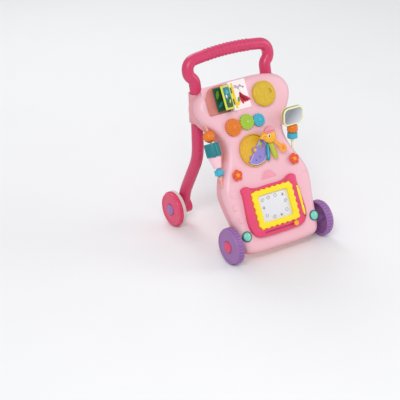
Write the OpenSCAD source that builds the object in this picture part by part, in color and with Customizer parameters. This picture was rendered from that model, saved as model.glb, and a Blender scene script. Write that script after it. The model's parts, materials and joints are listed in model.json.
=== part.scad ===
// Push-along baby walker with an activity panel: a leaning hourglass body on four wheels.
// World frame: +Z up, -Y is the side that the panel faces, +X is to the right of the panel.
// The origin is on the floor, midway between the four wheels.
// Panel frame (inside on_panel): x runs across, y runs up the panel, z points out of its face.

/* [Overall] */
// Distance between the front and rear axles
wheelbase = 258; // [230:1:320]
// Width over the outer faces of the wheels
track = 286; // [280:1:350]
// Lean of the panel back from the vertical, in degrees
lean = 26; // [22:1:30]

/* [Wheels] */
// Wheel diameter
wheel_d = 90; // [78:1:108]
// Wheel width
wheel_w = 21; // [18:1:24]
// Diameter of the steel axles
axle_d = 6; // [5:0.5:8]
// Height of the grip ring's section on each rear wheel
grip_ring_h = 4; // [3:0.5:5]

/* [Body] */
// Wall of the body shells
wall = 3; // [2.4:0.1:3.6]
// Rounding of the front edge
front_round = 18; // [14:1:20]
// Rounding of the rear edge
rear_round = 15; // [12:1:18]
// Thickness of the body at its foot
foot_t = 44; // [42:1:52]
// Thickness of the body at its top
top_t = 66; // [64:1:80]
// Distance of the front axle behind the panel's face
axle_depth = 26; // [24:1:28]

/* [Handle and legs] */
// Diameter of the handle tube
handle_d = 27; // [22:1:30]
// Spacing of the handle's two sockets
socket_spacing = 204; // [196:1:206]
// Straight length of the handle above its sockets
handle_rise = 22; // [18:1:40]
// Outward step of the handle's sides above the sockets
handle_flare = 14; // [8:1:18]
// Backward tilt of the handle, in degrees
handle_tilt = 12; // [8:1:15]
// Diameter of each rear leg
leg_d = 28; // [24:1:29]

/* [Panel toys] */
// Diameter of the yellow dial
dial_d = 62; // [50:1:66]
// Tooth pitch of the three gears, along the pitch circle, divided by pi
gear_module = 2.3; // [2:0.1:2.4]
// Diameter of the two-colour disc
disc_d = 80; // [70:1:84]
// Diameter of each flower button
flower_d = 29; // [24:1:32]
// Travel of each flower button
flower_travel = 3; // [2:0.5:4]
// Length of each book page from the hinge to its outer edge
page_l = 46; // [38:1:49]
// Thickness of each book page
page_t = 3; // [2.4:0.1:3.1]

/* [Drawing board] */
// Width of the drawing board's frame
board_w = 166; // [150:1:172]
// Height of the drawing board's frame
board_h = 132; // [124:1:136]
// Thickness of the drawing board's frame
board_t = 13; // [12:1:16]
// Width of the drawing screen
screen_w = 88; // [70:1:92]
// Height of the drawing screen
screen_h = 68; // [56:1:70]

/* [Hidden] */
$fn = 48;

// Clearances: a running shaft, a loose fit between moulded pieces, a face that only rests
run_gap = 0.05;
fit_gap = 0.3;
rest_gap = 0.1;

// Body outline, right half, from the top centre to the foot centre
half_outline = [
    [0, 381], [58, 380], [103, 371], [126, 352], [133, 326], [123, 298], [102, 270], [88, 244],
    [86, 222], [95, 192], [112, 160], [124, 128], [124, 96], [117, 52], [113, 8], [103, -26],
    [68, -35], [0, -36]
];
left_half = [for (i = [len(half_outline) - 2 : -1 : 1]) [-half_outline[i].x, half_outline[i].y]];
control = concat(half_outline, left_half);
steps_per_span = 3;
body_top = half_outline[0].y;
body_foot = half_outline[len(half_outline) - 1].y;
split_share = 0.45;
edge_steps = 4;

wheel_r = wheel_d / 2;
panel_origin = [
    0,
    -wheelbase / 2 - axle_depth * cos(lean),
    wheel_r + axle_depth * sin(lean)
];
side_x = socket_spacing / 2;

// A point on a Catmull-Rom span
function span(a, b, c, d, t) =
    0.5 * (2 * b + (c - a) * t + (2 * a - 5 * b + 4 * c - d) * t * t
    + (3 * b - a - 3 * c + d) * t * t * t);
function smooth_loop(p, n) = let (m = len(p))
    [for (i = [0 : m - 1], k = [0 : n - 1])
        span(p[(i + m - 1) % m], p[i], p[(i + 1) % m], p[(i + 2) % m], k / n)];
outline = smooth_loop(control, steps_per_span);
outline_n = len(outline);
function outward(i) =
    let (a = outline[(i + outline_n - 1) % outline_n])
    let (b = outline[(i + 1) % outline_n])
    let (t = b - a)
    [-t.y, t.x] / norm(t);
function inset_point(i, d) = outline[i] - outward(i) * d;

// Body thickness at a height on the panel
thick_slope = (top_t - foot_t) / (body_top - body_foot);
function thick(y) = foot_t + thick_slope * (y - body_foot);

// Rings of points around the body; each holds an inset and the depth as [constant, share of thickness]
function ring(d, depth, share) = [
    for (i = [0 : outline_n - 1])
        let (p = inset_point(i, d))
        [p.x, p.y, depth - share * thick(p.y)]
];
function front_edge(r, w) = [
    for (k = [0 : edge_steps])
        let (a = 90 * k / edge_steps)
        ring(w + (r - w) * (1 - sin(a)), -w - (r - w) * (1 - cos(a)), 0)
];
function rear_edge(r, w) = [
    for (k = [0 : edge_steps])
        let (a = 90 * k / edge_steps)
        ring(w + (r - w) * (1 - cos(a)), w + (r - w) * (1 - sin(a)), 1)
];
function reversed(list) = [for (i = [len(list) - 1 : -1 : 0]) list[i]];

// A closed skin over rings of points; turned swaps its inside and outside
module skin(rings, turned = false) {
    n = len(rings[0]);
    m = len(rings);
    points = [for (r = rings, p = r) p];
    sides = [
        for (k = [0 : m - 2], i = [0 : n - 1])
            let (a = k * n + i)
            let (b = k * n + (i + 1) % n)
            each [[a, b, b + n], [a, b + n, a + n]]
    ];
    first = [for (i = [n - 1 : -1 : 0]) i];
    last = [for (i = [0 : n - 1]) (m - 1) * n + i];
    faces = concat(sides, [first, last]);
    polyhedron(points, turned ? faces : [for (f = faces) reversed(f)], convexity = 6);
}

// Points and headings [x, z, heading] along a flat path of ["line", length] and
// ["bend", radius, angle], which starts upwards; a positive angle bends it towards -X
function walk(path, x = 0, z = 0, h = 0, i = 0) =
    i == len(path) ? [[x, z, h]] : walk_on(path, x, z, h, i, path[i]);
function walk_on(path, x, z, h, i, s) =
    s[0] == "line"
        ? concat([[x, z, h]], walk(path, x - s[1] * sin(h), z + s[1] * cos(h), h, i + 1))
        : let (g = sign(s[2]) * s[1])
          let (cx = x - g * cos(h))
          let (cz = z - g * sin(h))
          let (n = max(6, ceil(abs(s[2]) / 8)))
          let (turn = s[2] / n)
          let (end = h + s[2])
          concat(
              [
                  for (k = [0 : n - 1])
                      let (a = h + k * turn)
                      [cx + g * cos(a), cz + g * sin(a), a]
              ],
              walk(path, cx + g * cos(end), cz + g * sin(end), end, i + 1)
          );

// A round bar swept along such a path
module swept_bar(path, r, sides) {
    skin([
        for (f = walk(path))
            [
                for (k = [0 : sides - 1])
                    let (a = 360 * k / sides)
                    [f[0] + r * cos(a) * cos(f[2]), r * sin(a), f[1] + r * cos(a) * sin(f[2])]
            ]
    ]);
}

module on_panel() {
    translate(panel_origin)
        rotate([90 - lean, 0, 0])
            children();
}

// The rear face of the body, as a frame whose z points out of the back at height y
module on_rear(y) {
    translate([0, y, -thick(y)])
        rotate([-atan(thick_slope), 0, 0])
            rotate([0, 180, 0])
                children();
}

// ---------------------------------------------------------------- toy positions on the panel
dial_at = [49, 330];
dial_t = 10;
orange_teeth = 18;
green_teeth = 16;
blue_teeth = 13;
tooth_a = 1.15;
mesh_gap = 0.9;
gear_t = 7;
gear_z = 1;
orange_at = [-58, 271];
green_bearing = 6;
blue_bearing = -5;
function pitch_r(teeth) = gear_module * teeth / 2;
function beside(from, teeth_a, teeth_b, bearing) =
    from + (pitch_r(teeth_a) + pitch_r(teeth_b) + mesh_gap) * [cos(bearing), sin(bearing)];
green_at = beside(orange_at, orange_teeth, green_teeth, green_bearing);
blue_at = beside(green_at, green_teeth, blue_teeth, blue_bearing);
disc_at = [-18, 205];
disc_base_t = 3;
disc_rim_h = 7;
disc_rim_w = 2.5;
disc_cover_t = 2.6;
keys_at = [25, 230];
key_t = 2.5;
key_step = 3;
key_z = disc_rim_h + 0.6;
key_eye_r = 9;
hub_r = 19;
hub_z = key_z + 3 * key_step + 0.2;
hub_h = 11;
flower_x = 83;
flower_y = 158;
flower_top = 10;
flower_stem_r = 6;
headlight_at = [98.8, 12];
headlight_r = 13;
pin_r = 2.5;
pin_head_r = 4.5;
pin_head_h = 1.4;
pin_tail = 9;

// ---------------------------------------------------------------- fasteners and fixed points
screw_r = 1.5;
screw_head_r = 3;
screw_head_h = 2;
boss_r = 4.5;
case_screw_at = [[-50, 352], [50, 290], [-72, 256], [72, 256], [-95, 140], [95, 140], [-60, 20], [60, 20]];
case_screw_bite = 12;
socket_wall = 4.5;
socket_top = 372;
socket_h = 74;
leg_top = 348;
handle_tail = 20;
// Where the legs' and the handle's upright axis stands, measured in Y behind the front axle
leg_bend = 30;
leg_bend_r = 120;
leg_slope_l = 85;
leg_foot_bend = 20;
leg_foot_r = 100;
leg_foot_l = 26;
leg_wall = 3;
leg_back = leg_bend_r * (1 - cos(leg_bend))
    + leg_slope_l * sin(leg_bend)
    + leg_foot_r * (cos(leg_bend - leg_foot_bend) - cos(leg_bend))
    + leg_foot_l * sin(leg_bend - leg_foot_bend);
leg_drop = leg_bend_r * sin(leg_bend)
    + leg_slope_l * cos(leg_bend)
    + leg_foot_r * (sin(leg_bend) - sin(leg_bend - leg_foot_bend))
    + leg_foot_l * cos(leg_bend - leg_foot_bend);
leg_y = wheelbase / 2 - leg_back;
leg_straight = leg_top - leg_drop - wheel_r;

// ---------------------------------------------------------------- general shapes
module rounded_slab(w, h, t, r) {
    for (sx = [-1, 1], sy = [-1, 1])
        translate([sx * (w / 2 - r), sy * (h / 2 - r), 0])
            cylinder(r = r, h = t);
    translate([-w / 2 + r, -h / 2, 0])
        cube([w - 2 * r, h, t]);
    translate([-w / 2, -h / 2 + r, 0])
        cube([w, h - 2 * r, t]);
}

module screw(l) {
    cylinder(r = screw_head_r, h = screw_head_h);
    translate([0, 0, -l])
        cylinder(r = screw_r, h = l + 0.5);
}

module screw_hole(l) {
    cylinder(r = screw_head_r + fit_gap, h = 30);
    translate([0, 0, -l - 0.5])
        cylinder(r = screw_r + run_gap, h = l + 1);
}

// Places along the case's screws: z = 0 is the floor of the screw's counterbore in the rear wall
module at_case_screws() {
    for (p = case_screw_at)
        translate([p.x, p.y, -thick(p.y) + screw_head_h + 0.8])
            rotate([0, 180, 0])
                children();
}

// Places of the screws that pin the handle's ends and the legs' tops in their sockets
module at_frame_screws() {
    for (sx = [-1, 1], z = [socket_top - 12, leg_top - 14])
        translate([sx * side_x, leg_y + socket_r - 2.2, z])
            rotate([-90, 0, 0])
                children();
}
frame_screw_l = 13;
socket_r = leg_d / 2 + socket_wall;

// ---------------------------------------------------------------- body
module front_shell() {
    color("#F2B8C6")
        on_panel()
            difference() {
                union() {
                    skin(concat(
                        front_edge(front_round, 0),
                        [ring(0, 0, split_share)],
                        [ring(wall, 0, split_share)],
                        reversed(front_edge(front_round, wall))
                    ));
                    book_tray(well_margin, well_z - wall, 1);
                    for (p = case_screw_at)
                        translate([p.x, p.y, -thick(p.y) + wall + 2 + fit_gap])
                            cylinder(r = boss_r, h = thick(p.y) - wall - 4);
                }
                book_tray(0, well_z, -well_z + 1);
                at_case_screws()
                    screw_hole(case_screw_bite);
                panel_holes();
                rod_holes();
                stem_hole();
            }
}

// Shallow tray where the book's pages lie; grow widens it and z0 is its floor
well_z = -4;
well_margin = 2.5;
module book_tray(grow, z0, h) {
    x0 = spine_x - page_l - 22;
    w = page_l + 17;
    translate([x0 + w / 2, page_mid, z0])
        rounded_slab(w + 2 * grow, page_h + 10 + 2 * grow, h + (grow > 0 ? wall - 1.5 : 0), 6 + grow);
}

module panel_holes() {
    for (p = [orange_at, green_at, blue_at, dial_at, disc_at, keys_at])
        translate([p.x, p.y, -pin_tail - 5])
            cylinder(r = pin_r + run_gap, h = pin_tail + 6);
    for (sx = [-1, 1])
        translate([sx * flower_x, flower_y, -wall - 5])
            cylinder(r = flower_stem_r + fit_gap, h = wall + 6);
    for (sx = [-1, 1])
        translate([sx * headlight_at.x, headlight_at.y, -front_round])
            cylinder(r = headlight_r - 2, h = front_round + 1);
}

module rear_shell() {
    color("#F2B8C6")
        difference() {
            union() {
                on_panel()
                    skin(concat(
                        reversed(rear_edge(rear_round, 0)),
                        [ring(0, -fit_gap, split_share)],
                        [ring(wall, -fit_gap, split_share)],
                        rear_edge(rear_round, wall)
                    ), turned = true);
                for (sx = [-1, 1])
                    translate([sx * side_x, leg_y, socket_top - socket_h])
                        cylinder(r = socket_r, h = socket_h);
            }
            on_panel() {
                at_case_screws()
                    screw_hole(case_screw_bite);
                rotate([0, 90, 0])
                    translate([axle_depth, 0, -track / 2])
                        cylinder(r = axle_d / 2 + run_gap, h = track);
                on_rear(door_y) {
                    translate([0, 0, -wall - 3])
                        rounded_slab(door_w - 7, door_h - 7, wall + 4, 4);
                    translate([0, 0, -door_t])
                        rounded_slab(door_w + 2 * fit_gap, door_h + 2 * fit_gap, door_t + 1, 5);
                }
                on_rear(switch_at.y)
                    translate([-switch_at.x, 0, -wall - 3])
                        rounded_slab(switch_slot, switch_h + 2 * fit_gap, wall + 4, 2);
            }
            for (sx = [-1, 1])
                translate([sx * side_x, leg_y, socket_top - socket_h - 1])
                    cylinder(r = leg_d / 2 + rest_gap, h = leg_top - (socket_top - socket_h) + 1 + rest_gap);
            place_handle()
                for (x = [0, socket_spacing])
                    translate([x, 0, -fit_gap])
                        cylinder(r = handle_d / 2 + rest_gap, h = handle_tail + 40);
            at_frame_screws()
                screw_hole(frame_screw_l);
        }
}

// Battery door with a plug that drops into the opening
door_w = 70;
door_h = 64;
door_t = 1.6;
door_y = 160;
module battery_door() {
    color("#EFAFC0")
        on_panel()
            on_rear(door_y) {
                translate([0, 0, -door_t])
                    rounded_slab(door_w, door_h, door_t, 5);
                translate([0, 0, -wall])
                    rounded_slab(door_w - 8, door_h - 8, wall - door_t + 0.4, 4);
            }
}

cell_r = 7;
cell_l = 49;
module battery_cells() {
    color("#3F7F5F")
        on_panel()
            for (i = [0 : 2])
                translate([-cell_l / 2, door_y - 17 + i * 17, -thick(door_y) + wall + cell_r + 3])
                    rotate([0, 90, 0]) {
                        cylinder(r = cell_r, h = cell_l);
                        translate([0, 0, cell_l - 0.5])
                            cylinder(r = 2.6, h = 1.6);
                    }
}

module battery_contacts() {
    color("#C9CDD2")
        on_panel()
            for (i = [0 : 2], sx = [-1, 1])
                translate([
                    sx * (cell_l / 2 + 2.2) - 0.4,
                    door_y - 17 + i * 17 - 5,
                    -thick(door_y) + wall + cell_r - 2
                ])
                    cube([0.8, 10, 10]);
}

module circuit_board() {
    color("#2E7D4F")
        on_panel()
            translate([-40, 46, -14])
                difference() {
                    cube([80, 60, 1.6]);
                    for (x = [5, 75], y = [5, 55])
                        translate([x, y, -1])
                            cylinder(r = 1.6, h = 4);
                }
}

speaker_at = [0, 136];
module speaker() {
    color("#44464A")
        on_panel()
            translate([speaker_at.x, speaker_at.y, -wall - 12.4])
                difference() {
                    union() {
                        cylinder(r = 11, h = 8);
                        translate([0, 0, 8])
                            cylinder(r1 = 14, r2 = 20, h = 3);
                        translate([0, 0, 11])
                            cylinder(r = 20, h = 1.2);
                    }
                    translate([0, 0, 9])
                        cylinder(r1 = 8, r2 = 17, h = 4);
                }
}

switch_at = [62, 170];
switch_slot = 18;
switch_h = 5;
switch_l = 9;
switch_travel = 8;
module power_switch() {
    color("#D4385F")
        on_panel()
            on_rear(switch_at.y) {
                translate([-switch_at.x - switch_travel / 2, 0, -wall - 1])
                    rounded_slab(switch_l, switch_h, wall + 3, 2);
                translate([-switch_at.x - switch_travel / 2, 0, -wall - 2.5])
                    rounded_slab(switch_l + 3, switch_h + 5, 2, 1.5);
            }
}

module case_screws() {
    color("#9FA3A8")
        on_panel()
            at_case_screws()
                screw(case_screw_bite);
}

// ---------------------------------------------------------------- handle and legs
corner_r = 24;
corner_turn = 82;
arch_turn = 2 * (90 - corner_turn);
flare_r = 20;
// Short straight length between one bend and the next
link = 3;
// The two flare bends and the link between them step outwards by handle_flare in all
flare_turn = acos((2 * flare_r - handle_flare) / norm([2 * flare_r, link])) - atan(link / (2 * flare_r));
arch_r = (side_x + handle_flare - corner_r * (1 - cos(corner_turn)) - link * sin(corner_turn))
    / sin(arch_turn / 2);
side_path = [
    ["line", handle_tail + handle_rise],
    ["bend", flare_r, flare_turn],
    ["line", link],
    ["bend", flare_r, -flare_turn],
    ["line", link],
    ["bend", corner_r, -corner_turn],
    ["line", link]
];
handle_path = concat(side_path, [["bend", arch_r, -arch_turn]], reversed(side_path));

// Frame of the handle's left end: tilted back about the top of the sockets
module place_handle() {
    translate([-side_x, leg_y, socket_top])
        rotate([-handle_tilt, 0, 0])
            translate([0, 0, -handle_tail])
                children();
}

module handle() {
    color("#E0406F")
        difference() {
            place_handle()
                swept_bar(handle_path, handle_d / 2, 24);
            at_frame_screws()
                screw_hole(frame_screw_l);
        }
}

leg_path = [
    ["line", leg_straight],
    ["bend", leg_bend_r, -leg_bend],
    ["line", leg_slope_l],
    ["bend", leg_foot_r, leg_foot_bend],
    ["line", leg_foot_l]
];

module rear_leg(sx) {
    color("#E0406F")
        difference() {
            union() {
                translate([sx * side_x, leg_y, leg_top])
                    rotate([180, 0, 90])
                        swept_bar(leg_path, leg_d / 2, 24);
                translate([sx * side_x - leg_d / 2, wheelbase / 2, wheel_r])
                    rotate([0, 90, 0])
                        cylinder(r = leg_d / 2 + 3, h = leg_d);
            }
            translate([sx * side_x, leg_y, leg_top + 1])
                rotate([180, 0, 90])
                    swept_bar(
                        [["line", leg_straight + 1], leg_path[1], leg_path[2]],
                        leg_d / 2 - leg_wall,
                        24
                    );
            translate([sx * side_x - 50, wheelbase / 2, wheel_r])
                rotate([0, 90, 0])
                    cylinder(r = axle_d / 2 + run_gap, h = 100);
            at_frame_screws()
                screw_hole(frame_screw_l);
        }
}

module left_rear_leg() {
    rear_leg(-1);
}

module right_rear_leg() {
    rear_leg(1);
}

module frame_screws() {
    color("#9FA3A8")
        at_frame_screws()
            screw(frame_screw_l);
}

// ---------------------------------------------------------------- wheels
axle_end = 2;
module front_axle() {
    color("#B9BDC2")
        translate([-track / 2 + axle_end, -wheelbase / 2, wheel_r])
            rotate([0, 90, 0])
                cylinder(r = axle_d / 2, h = track - 2 * axle_end);
}

module rear_axles() {
    color("#B9BDC2")
        for (sx = [-1, 1])
            translate([sx * (side_x - leg_d / 2 - 2), wheelbase / 2, wheel_r])
                rotate([0, sx * 90, 0])
                    cylinder(r = axle_d / 2, h = track / 2 - axle_end - (side_x - leg_d / 2 - 2));
}

tread_t = 6;
web_t = 3.5;
hub_tube_r = 9;
cap_r = 14;
cap_seat = 2;
// A wheel hollow on its inner side; z = 0 is its outer face, the wheel lies at z < 0
module wheel(groove) {
    difference() {
        union() {
            difference() {
                union() {
                    translate([0, 0, -wheel_w])
                        cylinder(r = wheel_r, h = wheel_w - 5);
                    translate([0, 0, -5])
                        cylinder(r1 = wheel_r, r2 = wheel_r - 5, h = 5);
                }
                translate([0, 0, -wheel_w - 1])
                    cylinder(r = wheel_r - tread_t, h = wheel_w - web_t - 1);
            }
            translate([0, 0, -wheel_w])
                cylinder(r = hub_tube_r, h = wheel_w);
        }
        translate([0, 0, -wheel_w - 1])
            cylinder(r = axle_d / 2 + run_gap, h = wheel_w + 2);
        translate([0, 0, -cap_seat])
            cylinder(r = cap_r + 0.02, h = cap_seat + 1);
        if (groove)
            translate([0, 0, -wheel_w - 1])
                difference() {
                    cylinder(r = wheel_r + 1, h = ring_w + 1);
                    cylinder(r = wheel_r - grip_ring_h, h = ring_w + 1);
                }
    }
}

ring_w = 8;
module grip_ring() {
    translate([0, 0, -wheel_w])
        difference() {
            cylinder(r = wheel_r, h = ring_w);
            translate([0, 0, -1])
                cylinder(r = wheel_r - grip_ring_h, h = ring_w + 2);
        }
}

// A shallow cap over the axle's end
cap_dome = 4;
module hub_cap() {
    translate([0, 0, -cap_seat])
        difference() {
            union() {
                cylinder(r = cap_r, h = cap_seat);
                translate([0, 0, cap_seat])
                    cylinder(r1 = cap_r, r2 = cap_r - 5, h = cap_dome);
            }
            translate([0, 0, -1])
                cylinder(r = axle_d / 2 + 1, h = cap_seat + 2);
        }
}

// Stands a wheel or its trim on its axle: sx is the side, sy is -1 in front and 1 behind
module at_wheel(sx, sy) {
    translate([sx * track / 2, sy * wheelbase / 2, wheel_r])
        rotate([0, sx * 90, 0])
            children();
}

module front_left_wheel() {
    color("#9A68AE")
        at_wheel(-1, -1)
            wheel(false);
}

module front_right_wheel() {
    color("#9A68AE")
        at_wheel(1, -1)
            wheel(false);
}

module rear_left_wheel() {
    color("#E0406F")
        at_wheel(-1, 1)
            wheel(true);
}

module rear_right_wheel() {
    color("#E0406F")
        at_wheel(1, 1)
            wheel(true);
}

module front_left_hub_cap() {
    color("#E0406F")
        at_wheel(-1, -1)
            hub_cap();
}

module front_right_hub_cap() {
    color("#E0406F")
        at_wheel(1, -1)
            hub_cap();
}

module rear_left_hub_cap() {
    color("#A56FA0")
        at_wheel(-1, 1)
            hub_cap();
}

module rear_right_hub_cap() {
    color("#A56FA0")
        at_wheel(1, 1)
            hub_cap();
}

module rear_left_grip_ring() {
    color("#D5CCC8")
        at_wheel(-1, 1)
            grip_ring();
}

module rear_right_grip_ring() {
    color("#D5CCC8")
        at_wheel(1, 1)
            grip_ring();
}

// ---------------------------------------------------------------- book
spine_x = -42;
spine_z = 7.5;
knuckle_r = 4;
book_pin_r = 1.5;
page_h = 58;
page_mid = 343;
page_offset = page_t / 2 + 0.35;
knuckle_gap = 0.4;
// Five knuckles share the pin: base, back page, front page, back page, base
knuckle_h = (page_h + 2 * 6) / 5;
knuckle_y0 = page_mid - 2.5 * knuckle_h;
back_page_rest = 3;
front_page_rest = 32;

// A knuckle in slot i of the hinge
module knuckle(i) {
    translate([spine_x, knuckle_y0 + i * knuckle_h + knuckle_gap / 2, spine_z])
        rotate([-90, 0, 0])
            difference() {
                cylinder(r = knuckle_r, h = knuckle_h - knuckle_gap);
                translate([0, 0, -1])
                    cylinder(r = book_pin_r + run_gap, h = knuckle_h + 2);
            }
}

// A page that turns on the pin: angle 0 lies to the left, flat on the panel;
// lift is the offset of its sheet from the hinge line, and slots its knuckles
module page(angle, lift, slots) {
    for (i = slots)
        knuckle(i);
    translate([spine_x, page_mid, spine_z])
        rotate([0, angle, 0]) {
            translate([-page_l, -page_h / 2, lift - page_t / 2])
                cube([page_l - knuckle_r - 0.8, page_h, page_t]);
            for (i = slots)
                translate([
                    -knuckle_r - 1.2,
                    knuckle_y0 - page_mid + i * knuckle_h + knuckle_gap / 2,
                    lift - page_t / 2
                ])
                    cube([knuckle_r + 1.2 - book_pin_r - 0.35, knuckle_h - knuckle_gap, page_t]);
        }
}

module pin_clearance() {
    translate([spine_x, page_mid - page_h, spine_z])
        rotate([-90, 0, 0])
            cylinder(r = book_pin_r + run_gap, h = 2 * page_h);
}

module book_back_page() {
    color("#2F6B45")
        on_panel()
            difference() {
                page(back_page_rest, -page_offset, [1, 3]);
                pin_clearance();
            }
}

module book_front_page() {
    color("#F0DC3C")
        on_panel()
            difference() {
                page(front_page_rest, page_offset, [2]);
                pin_clearance();
            }
}

// Base with the two outer knuckles and the fixed right-hand page
module book_base() {
    color("#E9CF2F")
        on_panel()
            difference() {
                union() {
                    for (i = [0, 4]) {
                        knuckle(i);
                        translate([spine_x - 3, knuckle_y0 + i * knuckle_h + knuckle_gap / 2, rest_gap])
                            cube([6, knuckle_h - knuckle_gap, spine_z]);
                        translate([spine_x, knuckle_y0 + i * knuckle_h + knuckle_gap / 2, rest_gap])
                            cube([12, knuckle_h - knuckle_gap, 2]);
                    }
                    translate([spine_x + 6, page_mid - page_h / 2 - 6, rest_gap])
                        cube([page_l - 2, page_h + 12, 2.2]);
                }
                pin_clearance();
            }
}

module book_pin() {
    color("#B9BDC2")
        on_panel()
            translate([spine_x, knuckle_y0 + 1, spine_z])
                rotate([-90, 0, 0])
                    cylinder(r = book_pin_r, h = 5 * knuckle_h - 2);
}

// ---------------------------------------------------------------- dial, gears and disc
module dial() {
    color("#DDBB22")
        on_panel()
            translate([dial_at.x, dial_at.y, 1])
                difference() {
                    union() {
                        cylinder(r = dial_d / 2, h = dial_t - 2);
                        translate([0, 0, dial_t - 2])
                            cylinder(r1 = dial_d / 2, r2 = dial_d / 2 - 2, h = 2);
                    }
                    translate([0, 0, -1])
                        cylinder(r = pin_r + run_gap, h = dial_t + 2);
                    translate([0, 0, dial_t - 2])
                        cylinder(r = pin_head_r + fit_gap, h = 3);
                    for (a = [0 : 60 : 300])
                        rotate(a + 20)
                            translate([dial_d * 0.33, 0, dial_t - 3])
                                cylinder(r = 5, h = 4);
                }
}

// Tooth outline: a round wave on the pitch circle
function gear_points(teeth, phase) = [
    for (k = [0 : teeth * 8 - 1])
        let (a = 360 * k / (teeth * 8))
        let (r = pitch_r(teeth) + tooth_a * cos(teeth * (a - phase)))
        r * [cos(a), sin(a)]
];

// phase is the direction, in degrees, of one tooth's middle
module gear(teeth, phase) {
    difference() {
        linear_extrude(gear_t)
            polygon(gear_points(teeth, phase));
        translate([0, 0, -1])
            cylinder(r = pin_r + run_gap, h = gear_t + 2);
    }
}

// Phases that put a tooth of one gear into a gap of the next
orange_phase = green_bearing;
green_phase = green_bearing + 180 + 180 / green_teeth;
blue_phase = blue_bearing + 180 - (green_phase - blue_bearing) * green_teeth / blue_teeth
    + 180 / blue_teeth;

module orange_gear() {
    color("#E8811F")
        on_panel()
            translate([orange_at.x, orange_at.y, gear_z])
                gear(orange_teeth, orange_phase);
}

module green_gear() {
    color("#A5C339")
        on_panel()
            translate([green_at.x, green_at.y, gear_z])
                gear(green_teeth, green_phase);
}

module blue_gear() {
    color("#52B7CC")
        on_panel()
            translate([blue_at.x, blue_at.y, gear_z])
                gear(blue_teeth, blue_phase);
}

// A headed pin through the panel; top is the underside of its head
module headed_pin(p, top) {
    translate([p.x, p.y, -pin_tail])
        cylinder(r = pin_r, h = pin_tail + top + 0.2);
    translate([p.x, p.y, top])
        cylinder(r = pin_head_r, h = pin_head_h);
}

module panel_pins() {
    color("#8F6A58")
        on_panel() {
            for (p = [orange_at, green_at, blue_at])
                headed_pin(p, gear_z + gear_t + fit_gap);
            headed_pin(dial_at, dial_t - 1 + fit_gap);
            headed_pin(disc_at, disc_base_t + disc_cover_t + 0.9);
            translate([keys_at.x, keys_at.y, -pin_tail])
                cylinder(r = pin_r, h = pin_tail + hub_z + 5);
        }
}

module picture_disc() {
    color("#F2C52E")
        on_panel()
            translate([disc_at.x, disc_at.y, rest_gap])
                difference() {
                    cylinder(r = disc_d / 2, h = disc_rim_h);
                    translate([0, 0, disc_base_t])
                        cylinder(r = disc_d / 2 - disc_rim_w, h = disc_rim_h);
                    translate([0, 0, -1])
                        cylinder(r = pin_r + run_gap, h = disc_base_t + 2);
                }
}

// Half cover that turns over the picture disc
cover_turn = -43;
module disc_cover() {
    r = disc_d / 2 - disc_rim_w - 1;
    color("#9685CE")
        on_panel()
            translate([disc_at.x, disc_at.y, disc_base_t + 0.5])
                rotate(cover_turn)
                    difference() {
                        union() {
                            intersection() {
                                cylinder(r = r, h = disc_cover_t);
                                translate([0, -r - 1, 0])
                                    cube([r + 1, 2 * r + 2, disc_cover_t]);
                            }
                            cylinder(r = 7, h = disc_cover_t);
                        }
                        translate([0, 0, -1])
                            cylinder(r = pin_r + run_gap, h = disc_cover_t + 2);
                        translate([0, 0, -1])
                            linear_extrude(disc_cover_t + 2)
                                polygon([[9, 24], [17, 20], [11, 9]]);
                    }
}

// ---------------------------------------------------------------- keys
// A key that hangs from the pin at a bearing from straight down; level counts from the panel
module at_key(level, bearing) {
    on_panel()
        translate([keys_at.x, keys_at.y, key_z + level * key_step])
            rotate(bearing)
                children();
}

teal_bearing = -15;
olive_bearing = 6;
orange_bearing = 38;

module teal_key() {
    color("#1F7A80")
        at_key(0, teal_bearing)
            difference() {
                union() {
                    cylinder(r = key_eye_r, h = key_t);
                    translate([-4.5, -56, 0])
                        cube([9, 50, key_t]);
                    translate([0, -56, 0])
                        cylinder(r = 4.5, h = key_t);
                }
                translate([0, 0, -1])
                    cylinder(r = pin_r + run_gap, h = key_t + 2);
            }
}

module olive_key() {
    color("#B5B02E")
        at_key(1, olive_bearing)
            difference() {
                union() {
                    cylinder(r = key_eye_r, h = key_t);
                    translate([-7, -52, 0])
                        cube([14, 46, key_t]);
                    translate([0, -52, 0])
                        cylinder(r = 7, h = key_t);
                }
                translate([0, 0, -1])
                    cylinder(r = pin_r + run_gap, h = key_t + 2);
            }
}

module orange_key() {
    color("#F0A03C")
        at_key(2, orange_bearing)
            difference() {
                union() {
                    cylinder(r = key_eye_r, h = key_t);
                    translate([-5, -46, 0])
                        cube([10, 40, key_t]);
                    translate([0, -48, 0])
                        cylinder(r = 11, h = key_t);
                }
                translate([0, 0, -1])
                    cylinder(r = pin_r + run_gap, h = key_t + 2);
            }
}

// Rounded hub that covers the keys' eyes, with a pointed beak towards the disc
module key_hub() {
    color("#E89BA8")
        on_panel()
            translate([keys_at.x, keys_at.y, hub_z])
                difference() {
                    union() {
                        cylinder(r = hub_r, h = hub_h - 5);
                        translate([0, 0, hub_h - 5])
                            cylinder(r1 = hub_r, r2 = hub_r - 7, h = 5);
                        linear_extrude(hub_h - 5)
                            polygon([[-hub_r + 5, 10], [-hub_r - 12, -2], [-hub_r + 5, -8]]);
                    }
                    translate([0, 0, -1])
                        cylinder(r = pin_r + run_gap, h = 6.2);
                }
}

// ---------------------------------------------------------------- flower buttons
// Outline of five round petals of radius r, whose middles lie at distance d
function flower_outline(d, r) = [
    for (a = [0 : 6 : 354])
        let (from_petal = (a - 18 + 36 + 360) % 72 - 36)
        (d * cos(from_petal) + sqrt(r * r - pow(d * sin(from_petal), 2))) * [cos(a), sin(a)]
];

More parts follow.
